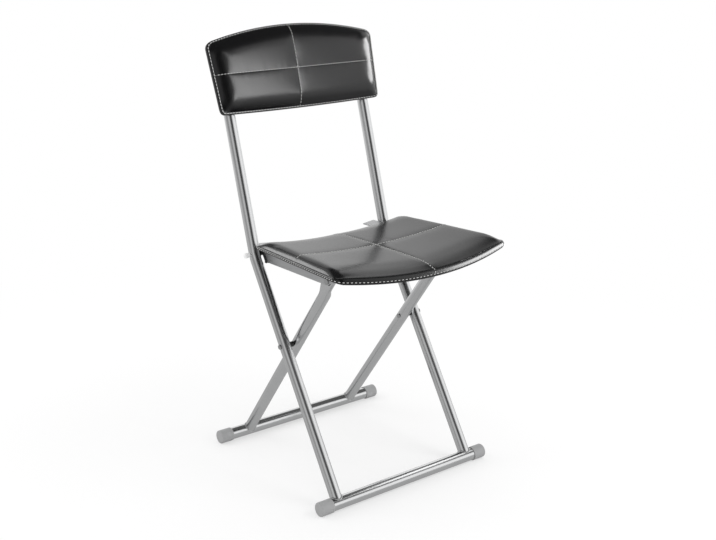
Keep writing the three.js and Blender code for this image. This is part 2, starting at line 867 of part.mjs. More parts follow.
const seatOutline = padOutline(
  { y: -seatFrontEdge, half: seatFrontHalf, bow: seatFrontBow, corner: seatFrontCorner },
  { y: seatRearEdge, half: seatRearHalf, bow: seatRearBow, corner: seatRearCorner },
);
const backOutline = padOutline(
  { y: backLowEdge, half: backLowHalf, bow: backLowBow, corner: backLowCorner },
  { y: backHighEdge, half: backHighHalf, bow: backHighBow, corner: backHighCorner },
);

function seatBoard() {
  const holes = seatScrewPlaces.flatMap((place) =>
    [-1, 1].map((side) => onFlange(seatScrewHole(), place, side)),
  );
  return cut(board(seatOutline, seatBoardThickness, seatBase), ...holes);
}

function flat() {
  return 0;
}

function backBoard() {
  const end = backBoardThickness - screwRadius + gap;
  const holes = backScrewPlaces.flatMap((place) =>
    [-1, 1].map((side) => {
      const hole = screwHole(end, backBoardThickness + overrun);
      return hole.translate(side * outerLegX, place, 0);
    }),
  );
  return cut(board(backOutline, backBoardThickness, flat), ...holes);
}

// Assembly

const chair = new THREE.Group();
const seat = new THREE.Group();
seat.position.copy(seatHinge);
seat.rotation.x = -seatTilt;
chair.add(seat);

// Lies like the seat pad and is stood up against the front of the uprights
const backrest = new THREE.Group();
backrest.position.copy(kink);
backrest.rotation.x = Math.PI / 2 - uprightLean;
chair.add(backrest);

function add(name, geometry, material, parent = chair) {
  const mesh = new THREE.Mesh(geometry, material);
  mesh.name = name;
  parent.add(mesh);
  return mesh;
}

// The same piece on both sides: made for +X, and mirrored for the left
function addPair(name, geometry, material, parent = chair) {
  add(`${name}_right`, geometry, material, parent);
  add(`${name}_left`, geometry, material, parent).scale.x = -1;
}

addPair("outer_leg", outerLeg(), colours.tube);
add("front_foot_bar", footBar(frontBar), colours.tube);
addPair("front_foot_cap", footCap(frontBar), colours.cap);
addPair("upright_plug", uprightPlug(), colours.plastic);
addPair("rear_bolt", rearBolt(), colours.zinc);
addPair("rear_cap_nut", capNut(), colours.zinc);
addPair("hook_bush", hookBush(), colours.plastic);
addPair("pivot_bolt", pivotBolt(), colours.zinc);
addPair("pivot_nut", pivotNut(), colours.zinc);
addPair("pivot_spacer", pivotSpacer(), colours.plastic);

addPair("inner_leg", innerLeg(), colours.tube);
add("rear_foot_bar", footBar(rearBar), colours.tube);
addPair("rear_foot_cap", footCap(rearBar), colours.cap);
addPair("hinge_rivet", hingeRivet(), colours.zinc);
addPair("hinge_washer", hingeWasher(), colours.plastic);

addPair("seat_rail", seatRail(), colours.rail, seat);
addPair("hook_liner", hookLiner(), colours.plastic, seat);
add("seat_board", seatBoard(), colours.board, seat);
const seatCushion = cushion(seatOutline, seatBoardThickness, seatFoam, seatBase);
add("seat_cushion", seatCushion, colours.leather, seat);
seatScrewPlaces.forEach((place, i) => {
  const label = i === 0 ? "seat_screw_front" : "seat_screw_rear";
  addPair(label, onFlange(panScrew(seatScrewLength), place), colours.zinc, seat);
});

const backPads = new THREE.Group();
backPads.position.z = tubeRadius + gap;
backrest.add(backPads);
add("backrest_board", backBoard(), colours.board, backPads);
const backCushion = cushion(backOutline, backBoardThickness, backFoam, flat);
add("backrest_cushion", backCushion, colours.leather, backPads);
backScrewPlaces.forEach((place, i) => {
  const label = i === 0 ? "backrest_screw_lower" : "backrest_screw_upper";
  const screw = panScrew(backScrewLength);
  screw.translate(outerLegX, place, -2 * tubeRadius - gap);
  addPair(label, screw, colours.zinc, backPads);
});

// The origin is on the floor, under the middle of the whole chair
chair.updateMatrixWorld(true);
const extent = new THREE.Box3().setFromObject(chair, true);
chair.position.y = -(extent.min.y + extent.max.y) / 2;

export default chair;
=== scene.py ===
import math

import bpy
import numpy as np
from mathutils import Matrix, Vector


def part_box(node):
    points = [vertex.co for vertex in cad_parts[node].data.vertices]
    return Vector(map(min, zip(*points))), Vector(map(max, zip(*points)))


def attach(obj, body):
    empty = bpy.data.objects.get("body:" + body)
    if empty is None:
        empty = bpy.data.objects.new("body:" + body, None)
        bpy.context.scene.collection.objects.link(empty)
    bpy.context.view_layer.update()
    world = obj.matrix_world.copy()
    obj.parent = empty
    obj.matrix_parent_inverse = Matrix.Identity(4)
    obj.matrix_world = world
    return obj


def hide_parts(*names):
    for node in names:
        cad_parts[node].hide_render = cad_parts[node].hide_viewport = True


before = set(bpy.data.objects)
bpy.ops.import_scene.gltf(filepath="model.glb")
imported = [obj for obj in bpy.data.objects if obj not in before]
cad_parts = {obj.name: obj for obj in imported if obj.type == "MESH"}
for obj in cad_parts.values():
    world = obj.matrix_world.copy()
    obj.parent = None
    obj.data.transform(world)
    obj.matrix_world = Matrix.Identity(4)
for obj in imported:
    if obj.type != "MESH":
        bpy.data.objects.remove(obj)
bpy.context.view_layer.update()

MM = 0.001
DEG = math.pi / 180
SIDES = (("right", 1), ("left", -1))


def node_middle(name):
    """The middle of a CAD node's box, in millimetres."""
    low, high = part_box(name)
    return (np.array(low) + np.array(high)) / 2 / MM


def node_size(name):
    """The size of a CAD node's box, in millimetres."""
    low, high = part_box(name)
    return (np.array(high) - np.array(low)) / MM


def unit(vectors):
    """Vectors brought to length 1."""
    return vectors / np.linalg.norm(vectors, axis=-1, keepdims=True)


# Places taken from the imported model, each as (y, z) in the side view or as x across
FRONT_BAR = node_middle("front_foot_bar")[1:]
REAR_BAR = node_middle("rear_foot_bar")[1:]
REAR_PIN = node_middle("hook_bush_right")[1:]
PIVOT = node_middle("pivot_nut_right")[1:]
SEAT_HINGE = node_middle("hinge_washer_right")[1:]
OUTER_X = node_middle("outer_leg_right")[0]
INNER_X = node_middle("inner_leg_right")[0]
BAR_HALF = node_size("front_foot_bar")[0] / 2

# Tubes: how deep a leg's end bites into its bar, and how the top of an upright is rounded off
GAP = 0.3
TUBE_R, BAR_R, SADDLE_BITE = 11.0, 12.0, 0.5
TOP_ROUND, TOP_SHARES = 0.4, (0.97, 0.93)
TUBE_SIDES = 96
UPRIGHT_LEAN = 17.7 * DEG
UPRIGHT_LENGTH, BEND_R, PIN_RISE = 386.0, 70.0, 5.0
UPRIGHT = np.array([math.sin(UPRIGHT_LEAN), math.cos(UPRIGHT_LEAN)])
KINK = REAR_PIN - PIN_RISE * UPRIGHT
LOWER_WAY, INNER_WAY = unit(KINK - FRONT_BAR), unit(SEAT_HINGE - REAR_BAR)

# The inner leg's pressed top: its oval, where its width and its flats begin and end below the
# hinge, and how its last rings close
OVAL_THICK, OVAL_WIDE = 12.5, 27.5
WIDE_RUN, FLAT_RUN = (52.0, 16.0), (46.0, 20.0)
TIP_POWER, TIP_LEAST = 5, 0.02

# Weld beads, and the foot caps, whose end has a shallow dish of this radius and depth
BEAD_R, BEAD_RIPPLE, BEAD_PITCH, BEAD_LIFT = 1.7, 0.22, 2.6, 0.2
CAP_R, CAP_LENGTH, CAP_WALL, CAP_ROUND, CAP_MOUTH = 13.5, 28.0, 2.5, 2.4, 0.8
DISH_REACH, DISH_DEEP = 9.0, 0.35

# Fasteners: heads as (height, radius, rounding), sleeves as (radius, rounding, rim), how far a
# pivot bolt and its nut reach past the inner leg, the nut's radius and rounding, and the cap
# nut's collar, length, radius and rounding
BOLT_R = 3.0
PIVOT_HEAD, REAR_HEAD = (2.2, 4.8, 1.6), (-2.8, 6.4, 1.2)
RIVET_HEAD, RIVET_TAIL = (2.2, 6, 1.5), (-2.2, 5, 1.2)
BUSH, BUSH_LONG = (5, 0.5, 2), 8.2
WASHER, WASHER_THICK = (9, 0.3, 0.6), 1.2
BOLT_TAIL, NUT_END, NUT = 1.6, 1.9, (4.8, 0.6)
COLLAR_LONG, NUT_LONG, NUT_R, NUT_ROUND = 3.4, 8.8, 5, 3.8

# Screws: the head with its cross recess, and how far the rails' flanges slope sideways
SCREW_R, SCREW_HEAD_R, SCREW_HEAD_H, HEAD_ROUND, HEAD_CROWN = 2.0, 4.4, 2.4, 1.2, 0.25
RECESS_REACH, RECESS_WIDTH, RECESS_DEPTH = 2.5, 0.75, 1.3
REACH_SOFT, WIDTH_SOFT = 0.5, 0.25
FLANGE_SLOPE, SEAT_SHANK, BLIND = 0.1146, 4.5, 2.0

# Pads: the forms that both share
SEAT_TILT = 2.8 * DEG
SEAT_WAY = math.sin(SEAT_TILT), math.cos(SEAT_TILT)
DISH_R, SEAT_BASE = 1124.0, 13.0
BACK_BASE = TUBE_R + GAP
RIM_RISE, RIM_WRAP = 1.5, 3.4
SHOULDER_POWER = 2.5
END_DENSITY = 0.6
CREASE = np.array([[-0.05, -0.75], [-0.35, -0.5]])
FOOT_STEPS = np.array([1.3, 0.7, 0.3, 0.08])
PAD_FOOT = 2.2
CLOSING = (0.8, 0.5, 0.2)

# Seams: how deep and wide they draw the cover in, and the sizes and lengths of the puckers beside
# them, which fade over a distance. The rim's waves have a size and whole turns.
GROOVE_DEEP, GROOVE_WIDE = 0.16, 1.5
PUCKER_SIZES = np.array([0.05, 0.05, 0.04, 0.03])
PUCKER_LENGTHS = np.array([43.0, 29.0, 19.0, 13.0])
PUCKER_FADE = 9
RIM_WAVE, RIM_TURNS = 0.16, np.array([7, 11, 17, 23, 31])

# The simulated cover: the bag's inner rings, the cloth's settings and frames, and how far the
# cover may move from its form
BAG_SHARES = (0.75, 0.5, 0.25)
CLOTH = {
    "vertex_group_mass": "held",
    "use_pressure": True,
    "uniform_pressure_force": 4,
    "tension_stiffness": 15,
    "mass": 0.3,
}
CLOTH_FRAMES = 20
MOST_SWELL = 1.3

# Threads, as (pitch, length, radius): the seams', and the coarser row round the seat
FINE_STITCH, COARSE_STITCH = (6.2, 4.7, 0.62), (7.6, 4.5, 0.6)


# Lines and meshes


def turned_left(way):
    """Directions in a plane turned by 90 degrees: (a, b) becomes (-b, a)."""
    return np.stack([-way[..., 1], way[..., 0]], -1)


def full_turn(steps):
    """Angles of a full turn in even steps."""
    return np.linspace(0, 2 * math.pi, steps, endpoint=False)


def circles(first, second, b):
    """A circle for each pair of unit vectors: first cos b + second sin b."""
    return first[:, None] * np.cos(b)[:, None] + second[:, None] * np.sin(b)[:, None]


def distances_along(line):
    """How far along a line each of its points lies."""
    return np.concatenate([[0], np.cumsum(np.linalg.norm(np.diff(line, axis=0), axis=1))])


def on_line(where, walk, line):
    """Values of a line's columns at the given distances along it."""
    return np.stack([np.interp(where, walk, column) for column in line.T], -1)


def shrunk(ring, shares):
    """Copies of a ring drawn in towards its middle."""
    middle = ring.mean(0)
    return [middle + (ring - middle) * share for share in shares]


def read(items, key, kind=float):
    """A mesh's values as an array of three columns."""
    values = np.empty(len(items) * 3, kind)
    items.foreach_get(key, values)
    return values.reshape(-1, 3)


def make(name, points, faces, smooth_angle=32):
    """A mesh object from an (n, 3) array of points in millimetres and face arrays."""
    mesh = bpy.data.meshes.new(name)
    lists = [face for block in faces for face in np.asarray(block).tolist()]
    mesh.from_pydata((np.asarray(points, float) * MM).tolist(), [], lists)
    mesh.validate()
    mesh.polygons.foreach_set("use_smooth", np.ones(len(mesh.polygons), bool))
    mesh.set_sharp_from_angle(angle=smooth_angle * DEG)
    mesh.update()
    piece = bpy.data.objects.new(name, mesh)
    bpy.context.scene.collection.objects.link(piece)
    return piece


def quads(rows, cols, wrap_rows=False, wrap_cols=False, first=0):
    """Four-sided faces of a grid of points stored row by row. Where a direction wraps, its last
    line is joined to its first."""
    i = np.arange(rows if wrap_rows else rows - 1)[:, None]
    j = np.arange(cols if wrap_cols else cols - 1)
    low, high, after = i * cols, (i + 1) % rows * cols, (j + 1) % cols
    return first + np.stack([low + j, low + after, high + after, high + j], -1).reshape(-1, 4)


def fan(centre, ring, flip=False):
    """Triangles from a centre point to a closed ring of point numbers."""
    after = np.roll(ring, -1)
    near, far = (after, ring) if flip else (ring, after)
    return np.stack([np.full(len(ring), centre), near, far], -1)


def band_faces(before, after):
    """Four-sided faces between two closed rings of point numbers."""
    return np.stack([before, after, np.roll(after, -1), np.roll(before, -1)], -1)


def closed_sweep(rings):
    """Points and faces of a tube over rings of shape (rows, sides, 3), closed at both ends by a
    fan to the middle of the end ring."""
    rows, sides, _ = rings.shape
    points = np.concatenate([rings.reshape(-1, 3), rings[[0, -1]].mean(1)])
    start, end = rows * sides, rows * sides + 1
    ring = np.arange(sides)
    faces = [quads(rows, sides, wrap_cols=True)]
    faces += [fan(start, ring, flip=True), fan(end, (rows - 1) * sides + ring)]
    return points, faces


def outwards(piece):
    """Turns a closed mesh inside out if its enclosed volume is negative: the sum over its
    triangles of a . (b x c) / 6."""
    mesh = piece.data
    mesh.calc_loop_triangles()
    points, corners = read(mesh.vertices, "co"), read(mesh.loop_triangles, "vertices", int)
    a, b, c = (points[corners[:, k]] for k in range(3))
    if (a * np.cross(b, c)).sum() < 0:
        mesh.flip_normals()


def finish_piece(piece, look, slot, body, *nodes):
    """Gives a piece its material, puts it on its body and lets it stand for nodes. Its slot is not
    used.
    """
    piece.data.materials.append(look)
    outwards(piece)
    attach(piece, body)
    if nodes:
        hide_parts(*nodes)


def both_sides(name, shape, look, slot, body, stands=True):
    """A piece on the right and, mirrored, on the left, from its points and faces. It stands for
    the CAD node of its name and side, or, where stands is false, for none."""
    points, faces = shape
    for side, sign in SIDES:
        node = f"{name}_{side}"
        piece = make(f"{node}_shell" if stands else node, points * (sign, 1, 1), faces)
        finish_piece(piece, look, slot, body, *([node] if stands else []))


def arc(centre, radius, start, end, steps):
    """Points of a circular arc in the plane: centre + radius (cos a, sin a), a in degrees."""
    a = np.linspace(start, end, steps + 1) * DEG
    return np.array(centre) + radius * np.stack([np.cos(a), np.sin(a)], -1)


def turned(profile, centre, sides=48):
    """A profile of (x, radius) pairs spun about the X line through centre = (y, z): each point
    becomes (x, y + r sin a, z + r cos a)."""
    profile = np.asarray(profile, float)
    a = full_turn(sides)
    x = np.repeat(profile[:, :1], sides, 1)
    y = centre[0] + profile[:, 1:] * np.sin(a)
    z = centre[1] + profile[:, 1:] * np.cos(a)
    return closed_sweep(np.stack([x, y, z], -1))


def dome(start, end, radius, round_size, steps=6):
    """Profile pairs of a rounded rim from its seat at start to its face at end."""
    way = 1 if end > start else -1
    a = np.linspace(0, 90, steps + 1) * DEG
    x = end - way * round_size * (1 - np.sin(a))
    r = radius - round_size * (1 - np.cos(a))
    return [(start, radius), *zip(x, r)]


# Tubes


def saddle(a, bite=0.0):
    """How far along a leg, from the bar's axis, its wall meets the bar: sqrt(R^2 - (r sin a)^2),
    where R is the bar's radius less the bite."""
    return np.sqrt((BAR_R - bite) ** 2 - (TUBE_R * np.sin(a)) ** 2)


def bent_path():
    """The outer leg's centre line and its directions: straight from the front bar, one bend below
    the rear pin, and straight up to the open end."""
    turn = math.acos(float(LOWER_WAY @ UPRIGHT))
    inward = unit(UPRIGHT - (UPRIGHT @ LOWER_WAY) * LOWER_WAY)
    a = np.linspace(0, turn, 25)[:, None]
    start = KINK - BEND_R * math.tan(turn / 2) * LOWER_WAY
    bend = start + BEND_R * (np.sin(a) * LOWER_WAY + (1 - np.cos(a)) * inward)
    bend_way = np.cos(a) * LOWER_WAY + np.sin(a) * inward
    share = np.linspace(0, 1, 12)[:-1, None]
    low = FRONT_BAR + share * (start - FRONT_BAR)
    top = KINK + UPRIGHT_LENGTH * UPRIGHT
    high = bend[-1] + (1 - share[::-1]) * (top - bend[-1])
    ways = [share * 0 + LOWER_WAY, bend_way, share * 0 + UPRIGHT]
    return np.concatenate([low, bend, high]), np.concatenate(ways)


def outer_leg():
    """Rings round the bent path: path + r (cos a X + sin a N), where N is the path's normal in
    the side view. The start is shaped to the foot bar and the top closed by a small round."""
    path, way = bent_path()
    a = full_turn(TUBE_SIDES)
    rings = np.empty((len(path), len(a), 3))
    rings[..., 0] = OUTER_X + TUBE_R * np.cos(a)
    rings[..., 1:] = path[:, None] + (TUBE_R * np.sin(a))[:, None] * turned_left(way)[:, None]
    rings[0, :, 1:] += saddle(a, SADDLE_BITE)[:, None] * way[0]
    ends = shrunk(rings[-1], TOP_SHARES)
    rings[-1, :, 1:] -= TOP_ROUND * way[-1]
    return closed_sweep(np.concatenate([rings, ends]))


def squeeze_share(below, start, end):
    """How far the leg is pressed at a distance below the hinge: a smooth step from 0 to 1."""
    s = np.clip((start - below) / (start - end), 0, 1)
    return s * s * (3 - 2 * s)


def inner_leg():
    """Rings of a stadium that turns from a circle to the pressed oval: half thickness h and
    straight part w, so a point is (h cos a, h sin a + w sign(sin a)). Past the rivet the oval
    follows a half circle, and its last rings close to the tip."""
    length = float(np.linalg.norm(SEAT_HINGE - REAR_BAR))
    end_r = OVAL_WIDE / 2
    straight = np.linspace(0, length - WIDE_RUN[0], 10)
    pressed = np.linspace(length - WIDE_RUN[0], length, 40)[1:]
    tip_angle = np.linspace(0, 90, 17)[1:] * DEG
    z = np.concatenate([straight, pressed, length + end_r * np.sin(tip_angle)])
    tip = np.concatenate([np.ones(len(straight) + len(pressed)), np.cos(tip_angle)])
    pressed_share = squeeze_share(length - z, *WIDE_RUN)
    half = TUBE_R + (OVAL_THICK / 2 - TUBE_R) * squeeze_share(length - z, *FLAT_RUN)
    half_end = half * (1 - (1 - tip) ** TIP_POWER).clip(TIP_LEAST)
    wide = (TUBE_R + (end_r - TUBE_R) * pressed_share) * tip
    a = full_turn(TUBE_SIDES) + math.pi / TUBE_SIDES
    flat = np.maximum(wide - half_end, 0)[:, None]
    across = np.minimum(half_end, wide)[:, None] * np.sin(a) + flat * np.sign(np.sin(a))
    side = across - (end_r - TUBE_R) * pressed_share[:, None]
    rings = np.empty((len(z), len(a), 3))
    rings[..., 0] = (INNER_X + TUBE_R - half)[:, None] + half_end[:, None] * np.cos(a)
    rings[..., 1:] = REAR_BAR + z[:, None, None] * INNER_WAY
    rings[..., 1:] += side[..., None] * turned_left(INNER_WAY)
    rings[0, :, 1:] += saddle(a, SADDLE_BITE)[:, None] * INNER_WAY
    return closed_sweep(rings)


def weld_bead(bar, way, x):
    """A bead along the line where a leg meets its bar: a small circle carried round the saddle
    line, its radius rippled along the way."""
    a, b = full_turn(160), full_turn(12)
    normal = turned_left(way)
    line = np.empty((len(a), 3))
    line[:, 0] = x + TUBE_R * np.cos(a)
    line[:, 1:] = bar + (saddle(a) + BEAD_LIFT)[:, None] * way
    line[:, 1:] += (TUBE_R * np.sin(a))[:, None] * normal
    tangent = unit(np.roll(line, -1, 0) - np.roll(line, 1, 0))
    out = np.stack([np.cos(a), *(np.sin(a) * normal[:, None])], -1)
    out = unit(out - (out * tangent).sum(1)[:, None] * tangent)
    walk = np.cumsum(np.linalg.norm(np.roll(line, -1, 0) - line, axis=1))
    ripples = round(walk[-1] / BEAD_PITCH)
    radius = BEAD_R + BEAD_RIPPLE * np.sin(2 * math.pi * ripples * walk / walk[-1])
    points = line[:, None] + radius[:, None, None] * circles(out, np.cross(tangent, out), b)
    return points.reshape(-1, 3), [quads(len(a), len(b), wrap_rows=True, wrap_cols=True)]


def foot_bar(bar):
    """A straight tube across the chair whose ends lie inside the caps."""
    x = np.linspace(-BAR_HALF, BAR_HALF, 41)
    return turned(np.stack([x, np.full(len(x), BAR_R)], -1), bar, TUBE_SIDES)


def foot_cap(bar):
    """A cup with a rounded, slightly dished end and a chamfered mouth, flattened where it stands:
    the height of each point is kept at or above the floor."""
    end = BAR_HALF + CAP_WALL + GAP
    mouth = end - CAP_LENGTH
    profile = [
        (end - CAP_WALL, 0),
        (end - CAP_WALL, BAR_R + GAP),
        (mouth, BAR_R + GAP),
        (mouth, CAP_R - CAP_MOUTH),
        *arc((mouth + CAP_MOUTH, CAP_R - CAP_MOUTH), CAP_MOUTH, 180, 90, 4),
        *[(x, CAP_R) for x in np.linspace(mouth + 2, end - CAP_ROUND - 1, 6)],
        *arc((end - CAP_ROUND, CAP_R - CAP_ROUND), CAP_ROUND, 90, 0, 8),
    ]
    r = np.linspace(DISH_REACH, 0, 7)
    profile += zip(end - DISH_DEEP * (1 - (r / DISH_REACH) ** 2), r)
    points, faces = turned(profile, bar, TUBE_SIDES)
    points[:, 2] = np.maximum(points[:, 2], 0)
    return points, faces


# Pads


def edge_line(start, end, bow, corner, steps=160):
    """One bowed edge without its corners: the straight line plus an outward bulge of
    4 bow s (1 - s)."""
    way = end - start
    trim = corner / np.linalg.norm(way)
    s = np.linspace(trim, 1 - trim, steps)[:, None]
    return start + s * way - bow * 4 * s * (1 - s) * turned_left(unit(way))


def corner_curve(before, corner, after, steps=24):
    """A quadratic curve that rounds a corner between two edge ends."""
    t = np.linspace(0, 1, steps)[:, None]
    return (1 - t) ** 2 * before + 2 * t * (1 - t) * corner + t**2 * after


def even_steps(line, count):
    """count + 1 points on a line, closer together towards both ends: arc length share
    t - density sin(2 pi t) / (2 pi)."""
    walk = distances_along(line)
    t = np.linspace(0, 1, count + 1)
    share = t - END_DENSITY * np.sin(2 * math.pi * t) / (2 * math.pi)
    return on_line(share * walk[-1], walk, line)


def split_side(line, axis, value, first_cells, last_cells):
    """A side as two stepped runs that meet where its coordinate reaches value."""
    at = int(np.argmin(np.abs(line[:, axis] - value)))
    line = line.copy()
    line[at, axis] = value
    first = even_steps(line[: at + 1], first_cells)
    return np.concatenate([first, even_steps(line[at:], last_cells)[1:]])


class PadShape:
    """A pad in its own plane: x across, y along it, h above the base it lies on. Its outline has
    a low and a high edge, each as (half width, y, bow, corner), and its two seams cross at seam_y,
    the lengthwise one a little to the side by seam_x at its low end, at the crossing and at its
    high end."""

    def __init__(self, name, low, high, seam_x, seam_y, board, foam, rim, place, cells, seed):
        self.name, self.place, self.seed = name, place, seed
        self.low, self.high = low, high
        self.seam_x, self.seam_y = seam_x, seam_y
        self.board, self.rim = board, board + RIM_RISE
        self.crown, self.pillow, *self.shoulders = foam
        self.rim_wide, self.rim_power, self.belly, self.under, self.hangs, self.low_rise = rim[:6]
        self.band_angles, self.stitch_row, self.stitch = np.array(rim[6]), rim[7], rim[8]
        self.cells_x, self.cells_low, self.cells_high = n, lows, highs = cells
        # The border's point numbers at its corners and, between them, at the seams' ends
        self.marks = np.cumsum([0, n, n, lows, highs, n, n, highs, lows])
        self.line, self.inward = self.border()

    def outline_sides(self):
        """The outline as four lines from corner middle to corner middle: low, right, high, left."""
        half_low, y_low, bow_low, corner_low = self.low
        half_high, y_high, bow_high, corner_high = self.high
        starts = np.array(
            [[-half_low, y_low], [half_low, y_low], [half_high, y_high], [-half_high, y_high]]
        )
        ends = np.roll(starts, -1, 0)
        mixed = (corner_low + corner_high) / 2
        trims = (corner_low, mixed, corner_high, mixed)
        edges = list(map(edge_line, starts, ends, (bow_low, 0, bow_high, 0), trims))
        rounds = [corner_curve(edges[k][-1], ends[k], edges[(k + 1) % 4][0]) for k in range(4)]
        half = len(rounds[0]) // 2
        return [
            np.concatenate([rounds[k - 1][half:-1], edges[k], rounds[k][1 : half + 1]])
            for k in range(4)
        ]

    def border(self):
        """The stepped outline, one point a grid line, counter-clockwise from the low left
        corner, and its inward unit normals. Its sides are cut where a seam ends, so that the
        seams lie on lines of the grid."""
        n, lows, highs = self.cells_x, self.cells_low, self.cells_high
        cuts = (
            (0, self.seam_x[0], n, n),
            (1, self.seam_y, lows, highs),
            (0, self.seam_x[2], n, n),
            (1, self.seam_y, highs, lows),
        )
        runs = [split_side(side, *cut) for side, cut in zip(self.outline_sides(), cuts)]
        line = np.concatenate([run[:-1] for run in runs])
        return line, turned_left(unit(np.roll(line, -1, 0) - np.roll(line, 1, 0)))

    def four_sides(self, line):
        """A closed stepped line cut at its corners: low, right, high and left."""
        line = np.concatenate([line, line[:1]])
        corners = self.marks[::2]
        return [line[first : last + 1] for first, last in zip(corners, corners[1:])]

    def patch(self, line):
        """The grid inside a closed stepped line: two patches that meet on the crosswise seam."""
        low, right, high, left = self.four_sides(line)
        high, left = high[::-1], left[::-1]
        lows = self.cells_low
        crossing = np.array([self.seam_x[1], self.seam_y])
        seam = np.concatenate(
            [
                even_steps(np.array([left[lows], crossing]), self.cells_x),
                even_steps(np.array([crossing, right[lows]]), self.cells_x)[1:],
            ]
        )
        lower = blend_patch(low, seam, left[: lows + 1], right[: lows + 1])
        upper = blend_patch(seam, high, left[lows:], right[lows:])
        return np.concatenate([lower, upper[1:]])

    def edge_distances(self, flat):
        """Distances of grid points from the low edge, the nearer side and the high edge."""
        low, right, high, left = (line_distance(flat, line) for line in self.four_sides(self.line))
        return low, np.minimum(right, left), high

    def rim_height(self, low, sides):
        """Height of the rim's top, which rises along the low edge by the share
        (sides / (low + sides))^2 of its rise, both being distances."""
        return self.rim + self.low_rise * (sides / (low + sides)) ** 2

    def crown_height(self, flat):
        """Height of the foam: from the rim's top it rises by the product of three shoulders
        1 - (1 - s)^p, where s is the share of a shoulder's width from the low edge, the sides and
        the high edge, to the crown and a shallow pillow (1 - (x / X)^2) (1 - (y / Y)^2)."""
        full = np.ones(flat.shape[:-1])
        distances = self.edge_distances(flat)
        for distance, width in zip(distances, self.shoulders):
            s = np.clip((distance - self.rim_wide) / width, 0, 1)
            full = full * (1 - (1 - s) ** SHOULDER_POWER)
        x = flat[..., 0] / max(self.low[0], self.high[0])
        middle = (self.low[1] + self.high[1]) / 2
        y = (flat[..., 1] - middle) / (self.high[1] - middle)
        pillow = np.clip((1 - x**2), 0, 1) * np.clip(1 - y**2, 0, 1)
        foot = self.rim_height(*distances[:2])
        return foot + full * (self.rim + self.crown + self.pillow * pillow - foot)


def blend_patch(low, high, left, right):
    """A grid that blends its four sides: (1 - v) B + v T + (1 - u) L + u R less the corners'
    share."""
    u = np.linspace(0, 1, len(low))[None, :, None]
    v = np.linspace(0, 1, len(left))[:, None, None]
    sides = (1 - v) * low[None] + v * high[None] + (1 - u) * left[:, None] + u * right[:, None]
    corners = (1 - v) * ((1 - u) * low[0] + u * low[-1]) + v * ((1 - u) * high[0] + u * high[-1])
    return sides - corners


def border_numbers(rows, cols):
    """Point numbers of a grid's border, in the order of PadShape.border()."""
    grid = np.arange(rows * cols).reshape(rows, cols)
    return np.concatenate([grid[0, :-1], grid[:-1, -1], grid[-1, :0:-1], grid[:0:-1, 0]])


def line_distance(flat, line):
    """Distance from each grid point to an open line: the least distance to its segments."""
    start, way = line[:-1], np.diff(line, axis=0)
    length2 = (way**2).sum(1)
    rows = []
    for row in flat:
        to = row[:, None] - start[None]
        t = np.clip((to * way).sum(-1) / length2, 0, 1)
        rows.append(np.sqrt(((to - t[..., None] * way) ** 2).sum(-1)).min(1))
    return np.array(rows)


def smoothed(field, rounds):
    """A grid field with its inner points moved to the mean of their four neighbours."""
    field = field.copy()
    for _ in range(rounds):
        near = field[:-2, 1:-1] + field[2:, 1:-1] + field[1:-1, :-2] + field[1:-1, 2:]
        field[1:-1, 1:-1] = near / 4
    return field


def doubled(field):
    """A grid field on a grid twice as fine: points halfway between are the mean of theirs."""
    rows = np.empty((2 * field.shape[0] - 1, *field.shape[1:]))
    rows[::2], rows[1::2] = field, (field[1:] + field[:-1]) / 2
    full = np.empty((rows.shape[0], 2 * rows.shape[1] - 1, *rows.shape[2:]))
    full[:, ::2], full[:, 1::2] = rows, (rows[:, 1:] + rows[:, :-1]) / 2
    return full


def on_seat(x, y, h):
    """A point of the seat pad: lifted off the dished base and tilted about the front hinge."""
    z = SEAT_BASE + x**2 / (2 * DISH_R) + h
    sin, cos = SEAT_WAY
    across, up = SEAT_HINGE
    return np.stack([x, across + y * cos + z * sin, up - y * sin + z * cos], -1)


def on_back(x, y, h):
    """A point of the backrest: along the uprights and forward of them."""
    z = BACK_BASE + h
    sin, cos = UPRIGHT
    return np.stack([x, KINK[0] + y * sin - z * cos, KINK[1] + y * cos + z * sin], -1)


# Each foam: crown, pillow, and the widths of its shoulders at the low edge, the sides and the
# high edge. Each rim: its width, its band's power, the share of its height where it is widest,
# how far it turns under, how far it hangs at the sides and at the low edge, how much higher it
# is along the low edge, the angles of its band's rings, and the ring that carries the stitches,
# whose threads are given last.
SEAT_BAND = (79, 70, 60, 50, 41, 33, 25, 18, 12, 6, 0)
BACK_BAND = (89.5, 87, 82, 76, 68, 58, 46, 34, 22, 10, 0)
SEAT = PadShape(
    "seat",
    low=(195.0, -101.5, 26.0, 14.0),
    high=(172.0, 191.0, 0.5, 18.0),
    seam_x=(0.0, 0.0, 0.0),
    seam_y=42.0,
    board=4.5,
    foam=(12.0, 2.0, 46.0, 17.0, 45.0),
    rim=(3.2, 2.0, 0.28, 1.4, (1.0, 3.2), 4.0, SEAT_BAND, 8, COARSE_STITCH),
    place=on_seat,
    cells=(110, 96, 88),
    seed=11,
)
BACK = PadShape(
    "backrest",
    low=(183.7, 269.5, 2.5, 9.0),
    high=(191.0, 404.5, 25.5, 17.0),
    seam_x=(-9.0, -7.0, -5.0),
    seam_y=343.2,
    board=8.0,
    foam=(10.5, 1.5, 34.0, 28.0, 27.0),
    rim=(4.5, 4.5, 0.42, 2.2, (0, 0), 0, BACK_BAND, 2, FINE_STITCH),
    place=on_back,
    cells=(110, 50, 54),
    seed=23,
)


